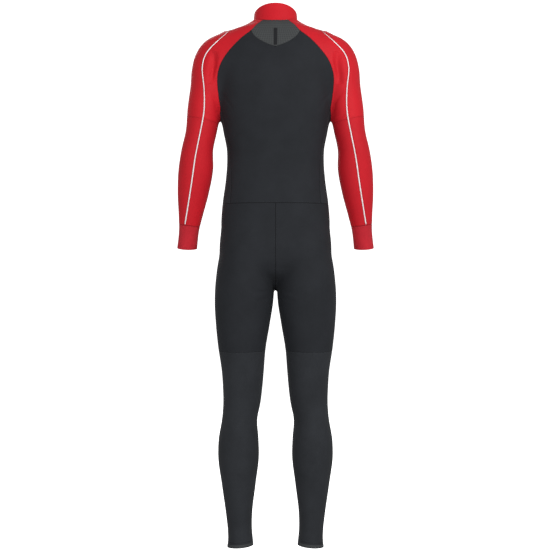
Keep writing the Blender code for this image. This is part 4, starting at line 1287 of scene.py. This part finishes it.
@dataclass
class Repeat:
    """One small bead set out along lines by Geometry Nodes, as a stitch or a zip's tooth is."""

    name: str
    finish: Finish
    pitch: float
    size: Point
    segments: int = 5
    rings: int = 3

    def tree(self) -> bpy.types.NodeTree:
        """The node tree that sets the beads out."""
        tree = bpy.data.node_groups.new(self.name, "GeometryNodeTree")
        tree.interface.new_socket("Geometry", in_out="OUTPUT", socket_type="NodeSocketGeometry")
        tree.interface.new_socket("Geometry", in_out="INPUT", socket_type="NodeSocketGeometry")
        for name in ("Pitch", "Width", "Height", "Length"):
            tree.interface.new_socket(name, in_out="INPUT", socket_type="NodeSocketFloat")
        graph = Graph(tree)
        given = tree.nodes.new("NodeGroupInput").outputs
        line = graph.add("GeometryNodeMeshToCurve", {"Mesh": given["Geometry"]})
        steps = {"Curve": line, "Length": given["Pitch"]}
        even = graph.add("GeometryNodeResampleCurve", steps, mode="LENGTH")
        bead = graph.add(
            "GeometryNodeMeshUVSphere", {"Segments": self.segments, "Rings": self.rings, "Radius": 0.5}
        )
        scale = graph.add("ShaderNodeCombineXYZ", {0: given["Width"], 1: given["Height"], 2: given["Length"]})
        bead = graph.add("GeometryNodeTransform", {"Geometry": bead, "Scale": scale})
        tangent = graph.add("GeometryNodeInputTangent")
        turn = graph.add("FunctionNodeAlignRotationToVector", {"Vector": tangent}, axis="Z")
        inputs = {"Points": even, "Instance": bead, "Rotation": turn}
        set_out = graph.add("GeometryNodeInstanceOnPoints", inputs)
        real = graph.add("GeometryNodeRealizeInstances", {"Geometry": set_out})
        smooth = graph.add("GeometryNodeSetShadeSmooth", {"Geometry": real})
        done = graph.add("GeometryNodeSetMaterial", {"Geometry": smooth, "Material": self.finish.material()})
        tree.links.new(done, tree.nodes.new("NodeGroupOutput").inputs["Geometry"])
        return tree

    def build(self, lines: list[np.ndarray]) -> bpy.types.Object:
        """Sets the beads out along lines.

        Args:
            lines: the lines, each an array of points.

        Returns:
            One piece with all the beads.
        """
        points, edges = [], []
        for line in lines:
            first = len(points)
            points.extend(tuple(point) for point in line)
            edges.extend((at, at + 1) for at in range(first, len(points) - 1))
        mesh = bpy.data.meshes.new(self.name)
        mesh.from_pydata(points, edges, [])
        piece = new_object(self.name, mesh, self.finish)
        spread = piece.modifiers.new("spread", "NODES")
        spread.node_group = self.tree()
        given = dict(zip(("Pitch", "Width", "Height", "Length"), (self.pitch, *self.size)))
        for item in spread.node_group.interface.items_tree:
            if item.name in given:
                spread[item.identifier] = given[item.name]
        piece.data = plain_mesh(piece)
        present(piece, self.finish)
        return piece


@dataclass
class Zip:
    """The front zip: two woven tapes, each with its row of teeth, and their stitching."""

    tape: tuple = ((0.0012, -0.0002), (0.0030, -0.0002), (0.0050, -0.0003), (0.00684, -0.0003),
                   (0.00684, -0.0011), (0.0012, -0.0011))
    teeth_pitch: float = 0.00125
    tooth: Point = (0.0031, 0.0013, 0.00062)
    tooth_out: float = 0.0002
    tooth_at: float = 0.00125
    thread_at: float = 0.0036
    thread_in: float = 0.0002
    step: float = 0.004
    flat: tuple[float, float] = (0.0100, 0.50)
    area: float = 0.0030

    def path(self, node: bpy.types.Object) -> tuple[np.ndarray, np.ndarray]:
        """The zip's middle line on the figure, and the outward direction along it.

        Args:
            node: the solid of one side.

        Returns:
            The points and the directions, from the waist up.
        """
        shape = merged_copy(node)
        near = np.array([vert.co for vert in shape.verts if abs(vert.co.x) < 0.0005])
        shape.free()
        near = near[np.argsort(near[:, 2])]
        pairs = near[: len(near) // 2 * 2].reshape(-1, 2, 3)
        front = np.argmin(pairs[:, :, 1], axis=1)
        at = np.arange(len(pairs))
        outer, inner = pairs[at, front], pairs[at, 1 - front]
        out = (outer - inner) / np.linalg.norm(outer - inner, axis=1, keepdims=True)
        line = inner + out * 0.0012
        line[:, 0] = 0.0
        fine = smooth_line(line, self.step)
        tangents = np.gradient(fine, axis=0)
        out = np.cross(tangents, (-1.0, 0.0, 0.0))
        return fine, out / np.linalg.norm(out, axis=1, keepdims=True)

    def build(self, nodes: dict) -> None:
        """Makes both sides of the zip."""
        line, out = self.path(nodes["zip_left"])
        threads = []
        for side in Side:
            name, hand = f"zip_{side.word}", side.value
            profile = self.tape if hand > 0 else self.tape[::-1]
            sections = np.stack([line + np.array((hand * x, 0, 0)) + out * up for x, up in profile], axis=1)
            tape = new_object(name + "_tape", tube(sections, name), TAPE)
            flat_measures(tape.data)
            present(tape, TAPE, nodes=(name,))
            shift = 0.0 if hand > 0 else self.teeth_pitch / 2
            steps = np.linalg.norm(np.diff(line, axis=0), axis=1)
            run = np.concatenate([[0], np.cumsum(steps)])
            at = np.arange(shift, run[-1] - 0.0005, self.teeth_pitch)
            row = np.stack([np.interp(at, run, line[:, axis]) for axis in range(3)], axis=1)
            lift = np.stack([np.interp(at, run, out[:, axis]) for axis in range(3)], axis=1)
            row = row + lift * self.tooth_out + (hand * self.tooth_at, 0, 0)
            Repeat(name + "_teeth", COIL, self.teeth_pitch, self.tooth, segments=8, rings=6).build([row])
            threads.append(line + np.array((hand * self.thread_at, 0, 0)) - out * self.thread_in)
        Repeat("zip_stitches", BLACK_THREAD, 0.0026, (0.0004, 0.0004, 0.0019)).build(threads)


def sew(panels: list[Panel]) -> None:
    """Makes the rows of stitches, one piece for each part of the suit and thread.

    Args:
        panels: the finished panels.
    """
    groups: dict[str, list] = {}
    for panel in panels:
        red = panel.finish in (RED, RED_SHADED, RED_RIB)
        colour = "red" if red else "black"
        groups.setdefault(f"stitches_{colour}_{panel.limb.name.lower()}", []).extend(panel.rows)
    for name, rows in groups.items():
        thread = RED_THREAD if "_red_" in name else BLACK_THREAD
        Repeat(name, thread, STITCH_PITCH, STITCH).build(rows)


@dataclass
class Studio:
    """The camera at the photograph's angle, a pale floor and soft light all round."""

    eye: Point = (0.0, 3.0, -0.7066)
    lens: float = 70.8
    film: float = 36.0
    floor_z: float = -1.53
    room: float = 14.0
    world: float = 0.40
    aim: Point = (0.0, 0.0, -0.6)

    def build(self) -> None:
        """Makes the camera, the floor, the backdrop and the lights."""
        view = bpy.data.cameras.new("camera")
        view.lens, view.sensor_width, view.clip_end = self.lens, self.film, 60.0
        camera = bpy.data.objects.new("camera", view)
        camera.location = self.eye
        camera.rotation_euler = (math.radians(90), 0, math.radians(180))
        bpy.context.scene.collection.objects.link(camera)
        bpy.context.scene.camera = camera
        bpy.context.scene.view_settings.view_transform = "Standard"
        self.surround()
        self.lamp("key", (-2.0, 2.7, 0.4), 1.8, 72.0)
        self.lamp("fill", (1.2, 3.1, -0.9), 2.4, 38.0)
        self.lamp("front", (0.6, -3.0, 1.0), 2.6, 60.0)
        LOG.info("studio")

    def surround(self) -> None:
        """Makes the floor and the round backdrop behind it, both plain and pale."""
        world = bpy.data.worlds.new("room")
        world.use_nodes = True
        shade = world.node_tree.nodes["Background"]
        shade.inputs["Color"].default_value = (1.0, 1.0, 1.0, 1.0)
        shade.inputs["Strength"].default_value = self.world
        bpy.context.scene.world = world
        shape = bmesh.new()
        bmesh.ops.create_circle(shape, cap_ends=True, segments=96, radius=self.room)
        bmesh.ops.translate(shape, verts=shape.verts, vec=(0, 0, self.floor_z))
        floor = self.stage_piece("floor", shape, 0.97)
        shape = bmesh.new()
        bmesh.ops.create_uvsphere(shape, u_segments=64, v_segments=32, radius=self.room * 1.2)
        bmesh.ops.reverse_faces(shape, faces=shape.faces)
        dome = self.stage_piece("backdrop", shape, 1.0)
        for ray in ("visible_diffuse", "visible_glossy", "visible_transmission", "visible_shadow"):
            setattr(dome, ray, False)
            setattr(floor, ray, False)

    def stage_piece(self, name: str, shape: bmesh.types.BMesh, glow: float) -> bpy.types.Object:
        """A piece of the studio with a plain pale finish that glows a little.

        Args:
            name: its name.
            shape: its mesh, which is freed.
            glow: how bright it is by itself.

        Returns:
            The piece.
        """
        mesh = bpy.data.meshes.new(name)
        shape.to_mesh(mesh)
        shape.free()
        made = bpy.data.materials.new(name)
        made.use_nodes = True
        shader = made.node_tree.nodes["Principled BSDF"]
        shader.inputs["Base Color"].default_value = (0.9, 0.9, 0.9, 1.0)
        shader.inputs["Roughness"].default_value = 0.9
        shader.inputs["Emission Color"].default_value = (1.0, 1.0, 1.0, 1.0)
        shader.inputs["Emission Strength"].default_value = glow
        mesh.materials.append(made)
        piece = bpy.data.objects.new(name, mesh)
        bpy.context.scene.collection.objects.link(piece)
        return piece

    def lamp(self, name: str, place: Point, size: float, power: float) -> None:
        """A soft square light aimed at the middle of the suit.

        Args:
            name: its name.
            place: where it stands.
            size: how wide it is.
            power: its power in watts.
        """
        data = bpy.data.lights.new(name, "AREA")
        data.size, data.energy = size, power
        lamp = bpy.data.objects.new(name, data)
        aim = Vector(self.aim) - Vector(place)
        lamp.location = place
        lamp.rotation_euler = aim.to_track_quat("-Z", "Y").to_euler()
        bpy.context.scene.collection.objects.link(lamp)


def main() -> None:
    """Builds the suit around the frame, piece by piece."""
    logging.basicConfig(level=logging.INFO, format="%(message)s")
    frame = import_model()
    nodes = frame["nodes"]
    panels = cut_panels()
    cutting = Cutting(panels, CREASES)
    cutting.lay_all(nodes)
    for panel, piece in cutting.finish_all():
        present(piece, panel.finish, nodes=(panel.node,))
    for side in Side:
        Piping(side).build(nodes)
    nape = Trim("nape_tape", TAPE).build(nodes)
    Zip().build(nodes)
    Trim("zip_slider", METAL).build(nodes)
    Trim("zip_pull", METAL, body=PULL_TAB).build(nodes)
    sew(panels)
    Studio().build()


if __name__ == "__main__":
    main()
